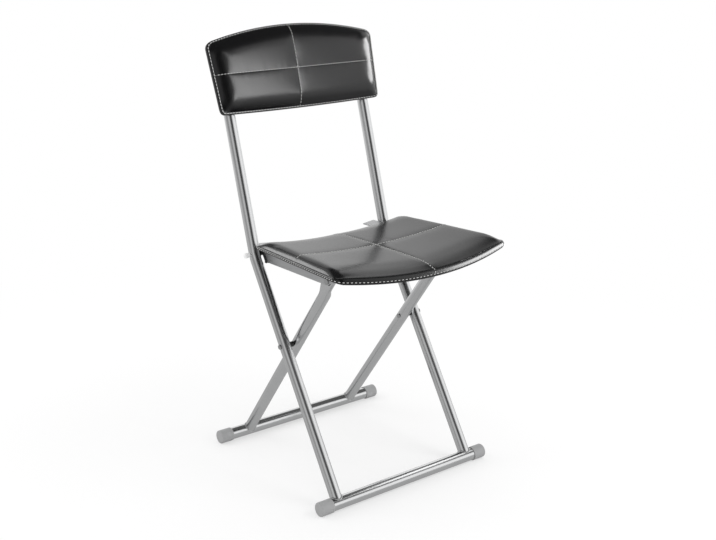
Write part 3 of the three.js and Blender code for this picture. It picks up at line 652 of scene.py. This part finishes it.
def inflate(pad, grid):
    """Blows the foam's crown up with cloth held at its border and seams, and gives how far each
    grid point moved, in millimetres. The cloth is a closed bag: the crown and a flat sheet."""
    rows, cols, _ = grid.shape
    top = grid.reshape(-1, 3)
    ring = border_numbers(rows, cols)
    count = len(ring)
    points = np.concatenate([top, *shrunk(top[ring], BAG_SHARES), top[ring].mean(0)[None]])
    levels = [ring, *(len(top) + np.arange(len(BAG_SHARES) * count).reshape(-1, count))]
    faces = [quads(rows, cols), *map(band_faces, levels, levels[1:])]
    faces.append(fan(len(points) - 1, levels[-1], flip=True))
    bag = make(f"{pad.name}_bag", points, faces)
    outwards(bag)

    held = np.ones(len(points), bool)
    inner = np.zeros((rows, cols), bool)
    inner[1:-1, 1:-1] = True
    inner[(rows - 1) * pad.cells_low // (pad.cells_low + pad.cells_high), :] = False
    inner[:, cols // 2] = False
    held[: len(top)] = ~inner.reshape(-1)
    group = bag.vertex_groups.new(name="held")
    group.add(np.flatnonzero(held).tolist(), 1.0, "REPLACE")

    cloth = bag.modifiers.new("cloth", "CLOTH")
    for key, value in CLOTH.items():
        setattr(cloth.settings, key, value)
    cloth.settings.effector_weights.gravity = 0
    cloth.point_cache.frame_start, cloth.point_cache.frame_end = 1, CLOTH_FRAMES
    scene = bpy.context.scene
    for number in range(1, CLOTH_FRAMES + 1):
        scene.frame_set(number)
    blown = bag.evaluated_get(bpy.context.evaluated_depsgraph_get())
    moved = read(blown.data.vertices, "co")
    scene.frame_set(1)
    bpy.data.objects.remove(bag)
    return (moved[: len(top)] / MM - top).reshape(grid.shape)


def rim_rings(pad, wave):
    """Rings of the cover, one point a border point, as (flat places, heights): the foot of the
    crown, the crease, a band (1 - cos(a)^(2/n), sin(a)^(2/n)) down to where the rim is widest,
    the turned edge and the wrap round the board."""
    inward = pad.inward
    sideways, lowwards = inward[:, 0] ** 2, np.clip(inward[:, 1], 0, 1) ** 2
    low = -(pad.hangs[0] * sideways + pad.hangs[1] * lowwards)
    edge = (pad.line + pad.rim_wide * inward)[None]
    top = pad.rim_height(*pad.edge_distances(edge)[:2])[0]
    widest = low + pad.belly * (pad.rim - low)
    a = pad.band_angles * DEG
    band_in = pad.rim_wide * (1 - np.cos(a) ** (2 / pad.rim_power))
    band_up = widest + np.sin(a)[:, None] ** (2 / pad.rim_power) * (top - widest)
    b = np.linspace(0, 90, 6)[1:, None] * DEG
    turn_in = pad.under * (1 - np.cos(b[:, 0]))
    turn_up = widest + np.sin(b) * (low - widest)
    inset = np.concatenate(
        [pad.rim_wide + FOOT_STEPS, pad.rim_wide + CREASE[:, 0], band_in, turn_in, [RIM_WRAP] * 2]
    )
    flat = pad.line[None] + inset[:, None, None] * inward[None]
    foot = pad.crown_height(flat[: len(FOOT_STEPS)])
    crease = top + CREASE[:, 1:]
    wrap = np.stack([low, np.full(len(low), pad.board + GAP)])
    height = np.concatenate([foot, crease, band_up, turn_up, wrap])
    height[len(foot) : -2] += np.clip(height[len(foot) : -2] / top, 0, 1) * wave
    return flat, height


def grid_normals(grid):
    """Unit normals of a grid surface: the cross product of its two directions."""
    return unit(np.cross(np.gradient(grid, axis=1), np.gradient(grid, axis=0)))


def ring_normals(rings):
    """Unit normals of rings round a pad: across the ring and along it, away from the last one."""
    around = np.roll(rings, -1, 1) - np.roll(rings, 1, 1)
    normal = unit(np.cross(around, np.gradient(rings, axis=0)))
    return normal * np.sign((normal * (rings - rings[-1])).sum(-1, keepdims=True))


def waviness(pad):
    """A gentle closed wave along the rim: a few sines of whole turns with seeded phases."""
    walk = distances_along(pad.line)
    total = walk[-1] + np.linalg.norm(pad.line[0] - pad.line[-1])
    phase = np.random.default_rng(pad.seed).uniform(0, 2 * math.pi, len(RIM_TURNS))
    waves = np.sin(2 * math.pi * RIM_TURNS * walk[:, None] / total + phase)
    return RIM_WAVE * (waves / np.sqrt(RIM_TURNS)).sum(1)


def seam_relief(pad, flat):
    """How far the cover is drawn in at its two seams: a bell exp(-(distance / width)^2), and the
    small puckers beside them, which fade within a centimetre."""
    rng = np.random.default_rng(pad.seed)
    seam_places = [pad.low[1], pad.seam_y, pad.high[1]]
    across = np.abs(flat[..., 0] - np.interp(flat[..., 1], seam_places, pad.seam_x))
    along = np.abs(flat[..., 1] - pad.seam_y)
    sunk, pucker = np.zeros((2, *flat.shape[:2]))
    for distance, run in ((across, flat[..., 1]), (along, flat[..., 0])):
        sunk = np.maximum(sunk, GROOVE_DEEP * np.exp(-((distance / GROOVE_WIDE) ** 2)))
        phase = rng.uniform(0, 2 * math.pi, len(PUCKER_SIZES))
        turn = 2 * math.pi / PUCKER_LENGTHS
        waves = (PUCKER_SIZES * np.sin(run[..., None] * turn + phase)).sum(-1)
        pucker += waves * np.exp(-distance / PUCKER_FADE)
    return sunk + pucker


def pad_cover(pad):
    """The whole cover of a pad as one closed mesh, and the lines that its stitches follow."""
    flat = pad.patch(pad.line + (pad.rim_wide + PAD_FOOT) * pad.inward)
    rows, cols, _ = flat.shape
    grid = pad.place(flat[..., 0], flat[..., 1], pad.crown_height(flat))

    moved = inflate(pad, grid[::2, ::2])
    far = np.linalg.norm(moved, axis=-1, keepdims=True)
    print(f"{pad.name}: the cover swells by up to {far.max():.2f} mm")
    moved *= MOST_SWELL * np.tanh(far / MOST_SWELL) / np.maximum(far, 1e-6)
    grid = grid + smoothed(doubled(smoothed(moved, 1)), 2)

    grid = grid - seam_relief(pad, flat)[..., None] * grid_normals(grid)
    ring_flat, ring_height = rim_rings(pad, waviness(pad))
    rings = pad.place(ring_flat[..., 0], ring_flat[..., 1], ring_height)

    top_count, count = rows * cols, len(pad.line)
    under = rings[-1]
    all_rings = np.concatenate([rings, shrunk(under, CLOSING)])
    points = np.concatenate(
        [grid.reshape(-1, 3), all_rings.reshape(-1, 3), under.mean(0)[None]]
    )
    first = top_count + np.arange(count)
    faces = [
        quads(rows, cols),
        band_faces(border_numbers(rows, cols), first),
        quads(len(all_rings), count, wrap_cols=True, first=top_count)[:, ::-1],
        fan(len(points) - 1, first + (len(all_rings) - 1) * count, flip=True),
    ]
    cover = make(f"{pad.name}_cover", points, faces, smooth_angle=60)
    return cover, stitch_lines(pad, grid, rings)


def stitch_lines(pad, grid, rings):
    """The lines of the threads with their normals and stitches: the row round the rim, and the
    two seams, which run over the crown and down its shoulders to that row."""
    surfaces = (rings, grid), (ring_normals(rings), grid_normals(grid))
    row = len(FOOT_STEPS) + len(CREASE) + pad.stitch_row
    around = [np.concatenate([rim[row], rim[row, :1]]) for rim, _ in surfaces]
    lines = [(*around, pad.stitch)]
    low, right, high, left = pad.marks[1::2]
    for middle, first, last in (
        ((slice(None), pad.cells_x), low, high),
        ((pad.cells_low, slice(None)), left, right),
    ):
        across = [
            np.concatenate([rim[row::-1, first], top[middle], rim[: row + 1, last]])
            for rim, top in surfaces
        ]
        lines.append((*across, FINE_STITCH))
    return lines


def stitches(name, lines):
    """Rows of short threads that lie half in the cover: a capsule of 8 sides, bent down at both
    ends, repeated along each line at its stitch's pitch. Along s = -1 to 1 its radius is
    r sqrt(1 - s^6) and its middle lies r (0.4 - 1.1 |s|^3) above the cover."""
    rings, sides = 7, 8
    s, b = np.linspace(-1, 1, rings), full_turn(sides)
    body = np.sqrt(np.clip(1 - np.abs(s) ** 6, 0, 1)).clip(0.12)[:, None, None]
    rise = (0.4 - 1.1 * np.abs(s) ** 3)[:, None, None]
    block = quads(rings, sides, wrap_cols=True)
    ends = np.stack([np.arange(sides)[::-1], (rings - 1) * sides + np.arange(sides)])
    points, faces, first = [], [], 0
    for line, normal, (pitch, length, radius) in lines:
        walk = distances_along(line)
        count = int(walk[-1] / pitch)
        middle = (np.arange(count) + 0.5) * walk[-1] / count
        spine = on_line(middle[:, None] + s * length / 2, walk, line)
        up = unit(on_line(middle, walk, normal))
        side = np.cross(unit(spine[:, -1] - spine[:, 0]), up)
        ring = body * circles(side, up, b)[:, None]
        threads = spine[:, :, None] + radius * (rise * up[:, None, None] + ring)
        points.append(threads.reshape(-1, 3))
        offset = first + rings * sides * np.arange(count)[:, None, None]
        faces += [(offset + block).reshape(-1, 4), (offset + ends).reshape(-1, sides)]
        first += count * rings * sides
    return make(name, np.concatenate(points), faces, smooth_angle=80)


# Fasteners


def head(x, height, radius, round_size):
    """Profile pairs of a head from the bolt's shank at x to the middle of its rounded face."""
    return [(x, BOLT_R), *dome(x, x + height, radius, round_size), (x + height, 0)]


def sleeve(start, end, radius, round_size, rim):
    """Profile pairs of a bush or washer round the bolt, with rounded rims."""
    first = dome(start + rim, start, radius, round_size)[::-1]
    return [(start, BOLT_R), *first, *dome(end - rim, end, radius, round_size), (end, BOLT_R)]


def pan_head():
    """Points (x, y, h) of a pan head on a polar grid, its seat at h = 0: side wall, rounded rim
    and a face that a cross recess presses in, two bars |x| < width or |y| < width within its
    reach, with soft walls."""
    face = SCREW_HEAD_R - HEAD_ROUND
    rim = arc((face, SCREW_HEAD_H - HEAD_ROUND), HEAD_ROUND, 0, 90, 6)
    face_r = np.linspace(face, 0.05, 26)[1:]
    crown = SCREW_HEAD_H + HEAD_CROWN * (1 - (face_r / face) ** 2)
    r = np.concatenate([[SCREW_R, SCREW_HEAD_R], rim[:, 0], face_r])[:, None]
    h = np.concatenate([[0, 0], rim[:, 1], crown])[:, None]
    x, y = r * np.cos(full_turn(72)), r * np.sin(full_turn(72))
    near, far = np.sort(np.abs([x, y]), axis=0)
    taper = np.clip((RECESS_REACH - far) / REACH_SOFT, 0, 1)
    arm = np.clip((RECESS_WIDTH - near) / WIDTH_SOFT, 0, 1)
    return np.stack([x, y, h - RECESS_DEPTH * taper * arm], -1)


def screw(node, way, length):
    """A pan head screw in the place of its node: its head looks in the unit direction way and its
    face ends with the node. The shank is plain and has the given length."""
    points = read(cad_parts[node].data.vertices, "co") / MM
    along = points @ way
    seat = along.max() - SCREW_HEAD_H
    head_points = points[along > seat]
    axis = (head_points.min(0) + head_points.max(0)) / 2
    axis = axis - (axis @ way) * way
    side = unit(np.cross(way, [1.0, 0, 0]))
    x, y, h = np.split(pan_head(), 3, axis=-1)
    rings = axis + x * side + y * np.cross(way, side) + (seat + h) * way
    return closed_sweep(np.concatenate([(rings[0] - length * way)[None], rings]))


# Shader maths


class Value:
    """A shader socket with Python's operators, each of which adds its Math node."""

    def __init__(self, finish, socket):
        self.finish = finish
        self.socket = socket

    def maths(self, operation, *others):
        inputs = dict(enumerate((self, *others)))
        return self.finish.node("ShaderNodeMath", {"operation": operation}, inputs)

    def __add__(self, other):
        return self.maths("ADD", other)

    def __mul__(self, other):
        return self.maths("MULTIPLY", other)

    def __sub__(self, other):
        return self.maths("SUBTRACT", other)

    def __rsub__(self, other):
        return self.finish.node("ShaderNodeMath", {"operation": "SUBTRACT"}, {0: other, 1: self})

    __radd__, __rmul__ = __add__, __mul__

    def above(self, low, high):
        """A smooth step from 0 at low to 1 at high."""
        inputs = {"Value": self, "From Min": low, "From Max": high}
        return self.finish.node(
            "ShaderNodeMapRange", {"interpolation_type": "SMOOTHSTEP"}, inputs
        )


class Finish:
    """A material or a world with its nodes."""

    def __init__(self, owner):
        owner.use_nodes = True
        self.owner = owner
        self.tree = owner.node_tree
        self.tree.nodes.clear()

    def node(self, kind, settings=None, inputs=None, output=0):
        """Adds a node: its settings are set first, then its sockets get values or links."""
        made = self.tree.nodes.new(kind)
        for key, value in (settings or {}).items():
            if key == "stops":
                self.set_stops(made.color_ramp, value)
            else:
                setattr(made, key, value)
        for key, value in (inputs or {}).items():
            socket = made.inputs[key]
            if isinstance(value, Value):
                self.tree.links.new(value.socket, socket)
            else:
                socket.default_value = value
        return Value(self, made.outputs[output]) if made.outputs else None

    @staticmethod
    def set_stops(ramp, stops):
        while len(ramp.elements) < len(stops):
            ramp.elements.new(1.0)
        for element, (place, grey) in zip(ramp.elements, stops):
            element.position = place
            element.color = (grey, grey, grey, 1)

    def parts(self, kind, outputs, inputs=None):
        """Some outputs of one node, by name or number."""
        made = self.node(kind, {}, inputs).socket.node
        return [Value(self, made.outputs[output]) for output in outputs]

    def place(self, scale=(1, 1, 1)):
        """Object coordinates, stretched by scale."""
        here = self.node("ShaderNodeTexCoord", output=3)
        return self.node("ShaderNodeMapping", {}, {"Vector": here, "Scale": scale})

    def noise(self, place, scale, detail=3.0, roughness=0.5):
        inputs = {"Vector": place, "Scale": scale, "Detail": detail, "Roughness": roughness}
        return self.node("ShaderNodeTexNoise", {"noise_dimensions": "3D"}, inputs)

    def tint(self, factor, first, second):
        """A colour that runs from first to second with factor."""
        inputs = {0: factor, 6: (*first, 1.0), 7: (*second, 1.0)}
        return self.node("ShaderNodeMix", {"data_type": "RGBA"}, inputs, output=2)

    def bump(self, height, distance, strength):
        inputs = {"Height": height, "Distance": distance, "Strength": strength}
        return self.node("ShaderNodeBump", {}, inputs)

    def surface(self, colour, rough, normal, metallic=0.0):
        """Ends the material in one Principled shader."""
        inputs = {"Base Color": colour, "Roughness": rough, "Normal": normal}
        if metallic:
            inputs["Metallic"] = metallic
        shader = self.node("ShaderNodeBsdfPrincipled", {}, inputs)
        self.node("ShaderNodeOutputMaterial", {}, {"Surface": shader})
        return self.owner


def material(name):
    return Finish(bpy.data.materials.new(name))


def plated_tube():
    """Satin plated steel: a soft mirror, with faint cloudy differences in its polish and a few
    fine lengthwise draw marks."""
    f = material("plated_tube")
    cloud = f.noise(f.place(), 35.0, 4.0)
    marks = f.noise(f.place((900.0, 14.0, 14.0)), 1.0, 2.0)
    rough = 0.145 + 0.05 * cloud + 0.03 * marks
    colour = f.tint(cloud, (0.70, 0.705, 0.71), (0.78, 0.785, 0.79))
    return f.surface(colour, rough, f.bump(marks, 0.00002, 0.5), 1.0)


def grey_cap():
    """Grey moulded plastic with a fine eroded texture and slightly scuffed spots."""
    f = material("grey_cap")
    fine = f.noise(f.place(), 1900.0, 2.0)
    scuff = f.noise(f.place(), 60.0, 5.0, 0.65).above(0.56, 0.75)
    colour = f.tint(scuff, (0.36, 0.362, 0.365), (0.43, 0.432, 0.435))
    return f.surface(colour, 0.5 - 0.1 * scuff, f.bump(fine, 0.00008, 0.6))


def black_cover():
    """Semi-gloss black leatherette: pressed grain of small cells with finer wrinkles between
    them, and a polish that changes a little from place to place."""
    f = material("black_cover")
    place = f.place()
    grain, pores = (
        f.node(
            "ShaderNodeTexVoronoi",
            {"feature": "DISTANCE_TO_EDGE"},
            {"Vector": place, "Scale": scale},
        ).above(0.0, edge)
        for scale, edge in ((820.0, 0.32), (1700.0, 0.3))
    )
    relief = 0.65 * grain + 0.22 * pores + 0.25 * f.noise(place, 240.0, 2.0)
    cloud = f.noise(place, 18.0, 3.0)
    colour = f.tint(cloud, (0.0022, 0.0022, 0.0025), (0.004, 0.004, 0.0045))
    rough = 0.22 + 0.06 * cloud - 0.04 * grain
    return f.surface(colour, rough, f.bump(relief, 0.00005, 0.2))


def thread():
    """Light grey sewing thread with its ply as fine slanted ribs."""
    f = material("thread")
    ply = f.noise(f.place(), 2600.0, 1.0)
    colour = f.tint(ply, (0.52, 0.52, 0.51), (0.66, 0.66, 0.65))
    return f.surface(colour, 0.7, f.bump(ply, 0.0001, 0.6))


def black_lining():
    """The black cloth-like lining on the boards' undersides: crossed fine threads."""
    f = material("black_lining")
    place = f.place()
    inputs = {"Vector": place, "Scale": 380.0}
    warp, weft = (
        f.node("ShaderNodeTexWave", {"bands_direction": way}, inputs, 1) for way in ("X", "Y")
    )
    cloud = f.noise(place, 30.0, 4.0)
    colour = f.tint(cloud, (0.012, 0.012, 0.012), (0.026, 0.025, 0.024))
    return f.surface(colour, 0.78 + 0.1 * cloud, f.bump(warp * weft, 0.00012, 0.7))


# Mottled finishes: the noise that mottles them, two tints, the least roughness and what the noise
# adds to it, the relief's own noise, if it has one, its depth and strength, and how metallic
# they are. They are pale plated cap nuts with faint blotches, silver-grey coated sheet steel with
# an orange peel, matte black moulded plastic, and zinc plated fasteners, duller and blotchy.
MOTTLED = {
    "bright_nut": (
        (180.0, 3.0), (0.88, 0.885, 0.89), (0.95, 0.95, 0.95), (0.42, 0.12),
        None, (0.00003, 0.4), 0.1,
    ),
    "rail_metal": (
        (24.0, 3.0), (0.50, 0.505, 0.51), (0.58, 0.585, 0.59), (0.34, 0.1),
        (420.0, 2.0), (0.00006, 0.5), 0.85,
    ),
    "black_plastic": (
        (90.0, 4.0), (0.012, 0.012, 0.012), (0.022, 0.022, 0.022), (0.42, 0.12),
        (1500.0, 2.0), (0.00006, 0.5), 0.0,
    ),
    "zinc_plate": (
        (260.0, 4.0, 0.6), (0.42, 0.43, 0.44), (0.60, 0.60, 0.59), (0.26, 0.22),
        None, (0.00004, 0.4), 1.0,
    ),
}


def mottled(name):
    noise, first, second, (least, more), fine, depth, metallic = MOTTLED[name]
    f = material(name)
    cloud = f.noise(f.place(), *noise)
    relief = f.noise(f.place(), *fine) if fine else cloud
    colour = f.tint(cloud, first, second)
    return f.surface(colour, least + more * cloud, f.bump(relief, *depth), metallic)


# Stage

CAMERA_AZIMUTH, CAMERA_LIFT, CAMERA_ROLL = -37.1005 * DEG, 18.5947 * DEG, 0.652 * DEG
CAMERA_PLACE = (-1.23846, FRONT_BAR[0] * MM - 1.48402, 1.08148)
CAMERA_LENS, SENSOR_WIDTH = 57.14, 36.0


def stand(name, data, columns):
    """An object with the given axes and place as the columns of its matrix."""
    made = bpy.data.objects.new(name, data)
    made.matrix_world = Matrix(np.vstack([np.column_stack(columns), [0, 0, 0, 1]]).tolist())
    bpy.context.scene.collection.objects.link(made)
    return made


def add_camera():
    """The camera at the photograph's place: it looks back along b, with r to its right and u up,
    both rolled about b."""
    sin_a, cos_a = math.sin(CAMERA_AZIMUTH), math.cos(CAMERA_AZIMUTH)
    sin_e, cos_e = math.sin(CAMERA_LIFT), math.cos(CAMERA_LIFT)
    b = np.array([sin_a * cos_e, -cos_a * cos_e, sin_e])
    r = np.array([cos_a, sin_a, 0.0])
    u = np.cross(b, r)
    right = math.cos(CAMERA_ROLL) * r + math.sin(CAMERA_ROLL) * u
    up = -math.sin(CAMERA_ROLL) * r + math.cos(CAMERA_ROLL) * u
    data = bpy.data.cameras.new("camera")
    data.lens, data.sensor_width = CAMERA_LENS, SENSOR_WIDTH
    bpy.context.scene.camera = stand("camera", data, [right, up, b, CAMERA_PLACE])


# Floor: to the camera it is this share plain white near the chair, and wholly white far away.
# In reflections it glows grey near the chair, a painted shade of the floor under and round it, and
# turns to the studio's level between two distances.
FLOOR_SIZE, FLOOR_COLOUR = 30000.0, (0.97, 0.97, 0.97, 1)
FLOOR_WHITE, FLOOR_FADE = 0.5, (0.5, 1.4)
NEAR_SHADE_LEVEL, NEAR_FADE, MIRRORED_SHARE = 0.38, (1.3, 3.0), 0.85
SEEN_RAYS = ("Is Camera Ray", "Is Glossy Ray", "Is Transmission Ray")

# How bright the studio is round the chair, by the direction in degrees from -Y towards +X: grey
# flats on the left, a dark gap in front, and the white backdrop on the right and behind
STUDIO_ROUND = (
    (-180, 0.85), (-153, 0.75), (-125, 0.45), (-102, 0.33), (-82, 0.3), (-63, 0.6), (-47, 0.6),
    (-40, 0.4), (-30, 0.1), (-11, 0.04), (0, 0.08), (8, 0.3), (20, 0.8), (30, 1.02), (51, 1.05),
    (79, 0.88), (105, 1.05), (145, 1.0), (180, 0.85),
)
STUDIO_MOST, CEILING, CEILING_EDGE = 1.5, 0.1, (30, 42)
DIFFUSE_LEVEL = 0.94


def studio_level(f, place):
    """How bright the studio is in the direction of place, seen from the chair."""
    x, y = f.parts("ShaderNodeSeparateXYZ", (0, 1), {0: place})
    turn = x.maths("ARCTAN2", 0.0 - y) * (1 / DEG / 360) + 0.5
    stops = [(way / 360 + 0.5, light / STUDIO_MOST) for way, light in STUDIO_ROUND]
    return STUDIO_MOST * f.node("ShaderNodeValToRGB", {"stops": stops}, {0: turn})


def add_floor():
    """A wide pale floor. To the camera it fades to plain white away from the chair, so only a soft
    part of the near shadows shows on it. In reflections it carries on the studio, with painted
    shade near the chair."""
    corners = FLOOR_SIZE * np.array([(-1, -1, 0), (1, -1, 0), (1, 1, 0), (-1, 1, 0)])
    floor = make("floor", corners, [[(0, 1, 2, 3)]])
    f = material("pale_floor")
    camera, glossy, through = f.parts("ShaderNodeLightPath", SEEN_RAYS)
    seen = camera.maths("MAXIMUM", glossy).maths("MAXIMUM", through)
    far = f.node("ShaderNodeVectorMath", {"operation": "LENGTH"}, {0: f.place()}, 1)
    fade, away = far.above(*FLOOR_FADE), far.above(*NEAR_FADE)
    # Painted shade: in reflections the floor near the chair glows only at a grey level
    mirrored_glow = NEAR_SHADE_LEVEL * (1 - away) + studio_level(f, f.place()) * away
    glow = 1.0 * (1 - glossy) + mirrored_glow * glossy
    share = seen * (FLOOR_WHITE + (1 - FLOOR_WHITE) * fade)
    share = share * (1 - glossy) + MIRRORED_SHARE * glossy
    diffuse = f.node("ShaderNodeBsdfDiffuse", {}, {"Color": FLOOR_COLOUR})
    white = f.node("ShaderNodeEmission", {}, {"Color": (1, 1, 1, 1), "Strength": glow})
    shader = f.node("ShaderNodeMixShader", {}, {0: share, 1: diffuse, 2: white})
    f.node("ShaderNodeOutputMaterial", {}, {"Surface": shader})
    floor.data.materials.append(f.owner)


def add_world():
    """Plain white behind the chair. Reflections see the studio round it, with a darker ceiling.
    The rest is even soft light."""
    world = bpy.data.worlds.new("studio")
    bpy.context.scene.world = world
    f = Finish(world)
    way = f.node("ShaderNodeTexCoord", output=0)
    (height,) = f.parts("ShaderNodeSeparateXYZ", (2,), {0: way})
    ceiling = (height.maths("ARCSINE") * (1 / DEG)).above(*CEILING_EDGE)
    studio = studio_level(f, way) * (1 - ceiling) + CEILING * ceiling
    camera, glossy = f.parts("ShaderNodeLightPath", SEEN_RAYS[:2])
    strength = DIFFUSE_LEVEL * (1 - glossy) + studio * glossy
    strength = strength * (1 - camera) + 1.0 * camera
    shade = f.node("ShaderNodeBackground", {}, {"Color": (1, 1, 1, 1), "Strength": strength})
    f.node("ShaderNodeOutputWorld", {}, {"Surface": shade})


def add_lamp(name, place, target, size, radiance, mirrored_by=None):
    """A soft rectangular lamp at place, turned to target, that the camera never sees. Its power
    is pi times its area times its radiance. Without mirrored_by it lights everything and shows
    in no reflection. With it, it shows only in the reflections of that piece."""
    data = bpy.data.lights.new(name, "AREA")
    data.shape, data.size, data.size_y = "RECTANGLE", size[0], size[1]
    data.energy = math.pi * size[0] * size[1] * radiance
    way = unit(np.subtract(place, target))
    side = unit(np.cross([0, 0, 1.0], way))
    lamp = stand(name, data, [side, np.cross(way, side), way, place])
    lamp.visible_camera = False
    lamp.visible_glossy = mirrored_by is not None
    if mirrored_by is not None:
        lamp.visible_diffuse = False
        receivers = bpy.data.collections.new(f"{name}_receivers")
        receivers.objects.link(mirrored_by)
        lamp.light_linking.receiver_collection = receivers


# Studio lamps, as (place, target, size, radiance)
FRONT_LAMP = (0.72, -1.05, 1.28), (-0.05, 0.1, 0.7), (0.75, 0.55), 4.0
REAR_LAMP = (-1.9, 1.9, 1.9), (0, 0, 0.3), (1.6, 1.4), 1.7

# Soft boxes that only the named piece mirrors: on the backrest the sheen of its left half and the
# streak on its right shoulder, on the seat the right end of its front band and its left band,
# and on the front foot bar the bright line along its top
SOFT_BOXES = (
    ("front_box", "backrest_cover", (0.40, -0.80, 0.97), (-0.15, 0.18, 0.74), (0.30, 0.62), 6.6),
    ("right_box", "backrest_cover", (1.13, -0.12, 1.04), (0.17, 0.17, 0.75), (0.54, 0.5), 11.0),
    ("band_box", "seat_cover", (1.0, -0.69, 0.42), (0.12, -0.22, 0.455), (0.8, 0.36), 13.0),
    ("side_box", "seat_cover", (-0.70, 1.29, 0.86), (-0.18, -0.07, 0.455), (0.42, 0.42), 5.0),
    ("front_bar_box", "front_foot_bar_shell", (0.72, -0.30, 1.0), (0, -0.16, 0), (0.6, 0.3), 1.35),
)


# The chair


def add_frame_tubes(plated, cap):
    both_sides("outer_leg", outer_leg(), plated, "tube", "back_frame")
    both_sides("inner_leg", inner_leg(), plated, "tube", "leg_frame")
    ends = (
        ("front", FRONT_BAR, LOWER_WAY, OUTER_X, "back_frame"),
        ("rear", REAR_BAR, INNER_WAY, INNER_X, "leg_frame"),
    )
    for name, bar, _, _, body in ends:
        piece = make(f"{name}_foot_bar_shell", *foot_bar(bar))
        finish_piece(piece, plated, "tube", body, f"{name}_foot_bar")
        both_sides(f"{name}_foot_cap", foot_cap(bar), cap, "cap", body)
    for name, bar, way, x, body in ends:
        both_sides(f"{name}_weld", weld_bead(bar, way, x), plated, "tube", body, stands=False)


def add_pads(cover_look, thread_look):
    for pad, body in ((SEAT, "seat"), (BACK, "back_frame")):
        cover, lines = pad_cover(pad)
        finish_piece(cover, cover_look, "leather", body, f"{pad.name}_cushion")
        rows = stitches(f"{pad.name}_stitching", lines)
        finish_piece(rows, thread_look, "leather", body)


def add_fasteners(zinc, pale, plastic):
    """Bolts, nuts, rivets, bushes and washers: profiles turned in the place of their nodes."""
    outside, inside = OUTER_X + TUBE_R + GAP, INNER_X - TUBE_R
    hinge, bush_end = INNER_X + TUBE_R + GAP, OUTER_X - TUBE_R - GAP
    bush = bush_end - BUSH_LONG
    rear_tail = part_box("rear_bolt_right")[1][0] / MM
    rivet_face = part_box("hinge_rivet_right")[1][0] / MM - RIVET_HEAD[0]
    rivet = hinge - OVAL_THICK - 2 * GAP
    tail, nut, nut_end = inside - BOLT_TAIL, inside - GAP, inside - NUT_END
    shoulder = outside + COLLAR_LONG
    tip = shoulder + NUT_LONG
    collar = [(outside, 0), (outside, 3.7), (outside + 0.3, 4), (shoulder - 0.2, 4)]
    cap = dome(shoulder + 0.4, tip, NUT_R, NUT_ROUND, 10)
    profiles = {
        "pivot_bolt": [(tail, 0), (tail, BOLT_R), *head(outside, *PIVOT_HEAD)],
        "pivot_nut": [(nut, BOLT_R), *dome(nut, nut_end, *NUT), (nut_end, BOLT_R)],
        "rear_bolt": [(rear_tail, 0), (rear_tail, BOLT_R), *head(bush - GAP, *REAR_HEAD)],
        "rear_cap_nut": [*collar, (shoulder, 4.4), *cap, (tip, 0)],
        "hook_bush": sleeve(bush, bush_end, *BUSH),
        "hinge_rivet": head(rivet, *RIVET_TAIL)[::-1] + head(rivet_face, *RIVET_HEAD),
        "hinge_washer": sleeve(hinge, hinge + WASHER_THICK, *WASHER),
    }
    looks = {"rear_cap_nut": pale, "hook_bush": plastic, "hinge_washer": plastic}
    places = {"pivot": PIVOT, "rear": REAR_PIN, "hook": REAR_PIN, "hinge": SEAT_HINGE}
    for name, profile in profiles.items():
        place, look = name.split("_")[0], looks.get(name, zinc)
        slot = "plastic" if look is plastic else "zinc"
        body = "leg_frame" if place == "hinge" else "back_frame"
        both_sides(name, turned(profile, places[place]), look, slot, body)


def add_screws(zinc):
    """The pad screws: those of the backrest look to the rear, those of the seat look down,
    square to the tilted flange."""
    back_way, back_shank = np.array([0, UPRIGHT[1], -UPRIGHT[0]]), 2 * TUBE_R + BACK.board - BLIND
    for side, sign in SIDES:
        seat_way = unit(-np.array([-sign * FLANGE_SLOPE, *SEAT_WAY]))
        for name, body, way, length in (
            ("backrest_screw_lower", "back_frame", back_way, back_shank),
            ("backrest_screw_upper", "back_frame", back_way, back_shank),
            ("seat_screw_front", "seat", seat_way, SEAT_SHANK),
            ("seat_screw_rear", "seat", seat_way, SEAT_SHANK),
        ):
            node = f"{name}_{side}"
            piece = make(f"{node}_shell", *screw(node, way, length))
            finish_piece(piece, zinc, "zinc", body, node)


def dress(node, look, soften=0.0):
    """A CAD node that stays: a better material and, where soften is set, rounded edges."""
    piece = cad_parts[node]
    piece.data.materials.clear()
    piece.data.materials.append(look)
    if soften:
        weld = piece.modifiers.new("weld", "WELD")
        weld.merge_threshold = 0.00001
        bevel = piece.modifiers.new("bevel", "BEVEL")
        bevel.width, bevel.segments = soften * MM, 2
        bevel.limit_method, bevel.angle_limit = "ANGLE", 35 * DEG
        bevel.use_clamp_overlap = True


add_camera()
add_floor()
add_world()
add_lamp("front_lamp", *FRONT_LAMP)
add_lamp("rear_lamp", *REAR_LAMP)

plastic, zinc, lining = mottled("black_plastic"), mottled("zinc_plate"), black_lining()
rail = mottled("rail_metal")
add_frame_tubes(plated_tube(), grey_cap())
add_pads(black_cover(), thread())
add_fasteners(zinc, mottled("bright_nut"), plastic)
add_screws(zinc)
for side, _ in SIDES:
    dress(f"seat_rail_{side}", rail, soften=0.5)
    dress(f"hook_liner_{side}", plastic, soften=0.4)
    dress(f"upright_plug_{side}", plastic)
    dress(f"pivot_spacer_{side}", plastic, soften=0.3)
dress("seat_board", lining)
dress("backrest_board", lining)
for name, piece, *lamp in SOFT_BOXES:
    add_lamp(name, *lamp, mirrored_by=bpy.data.objects[piece])

bpy.context.scene.view_settings.view_transform = "Standard"
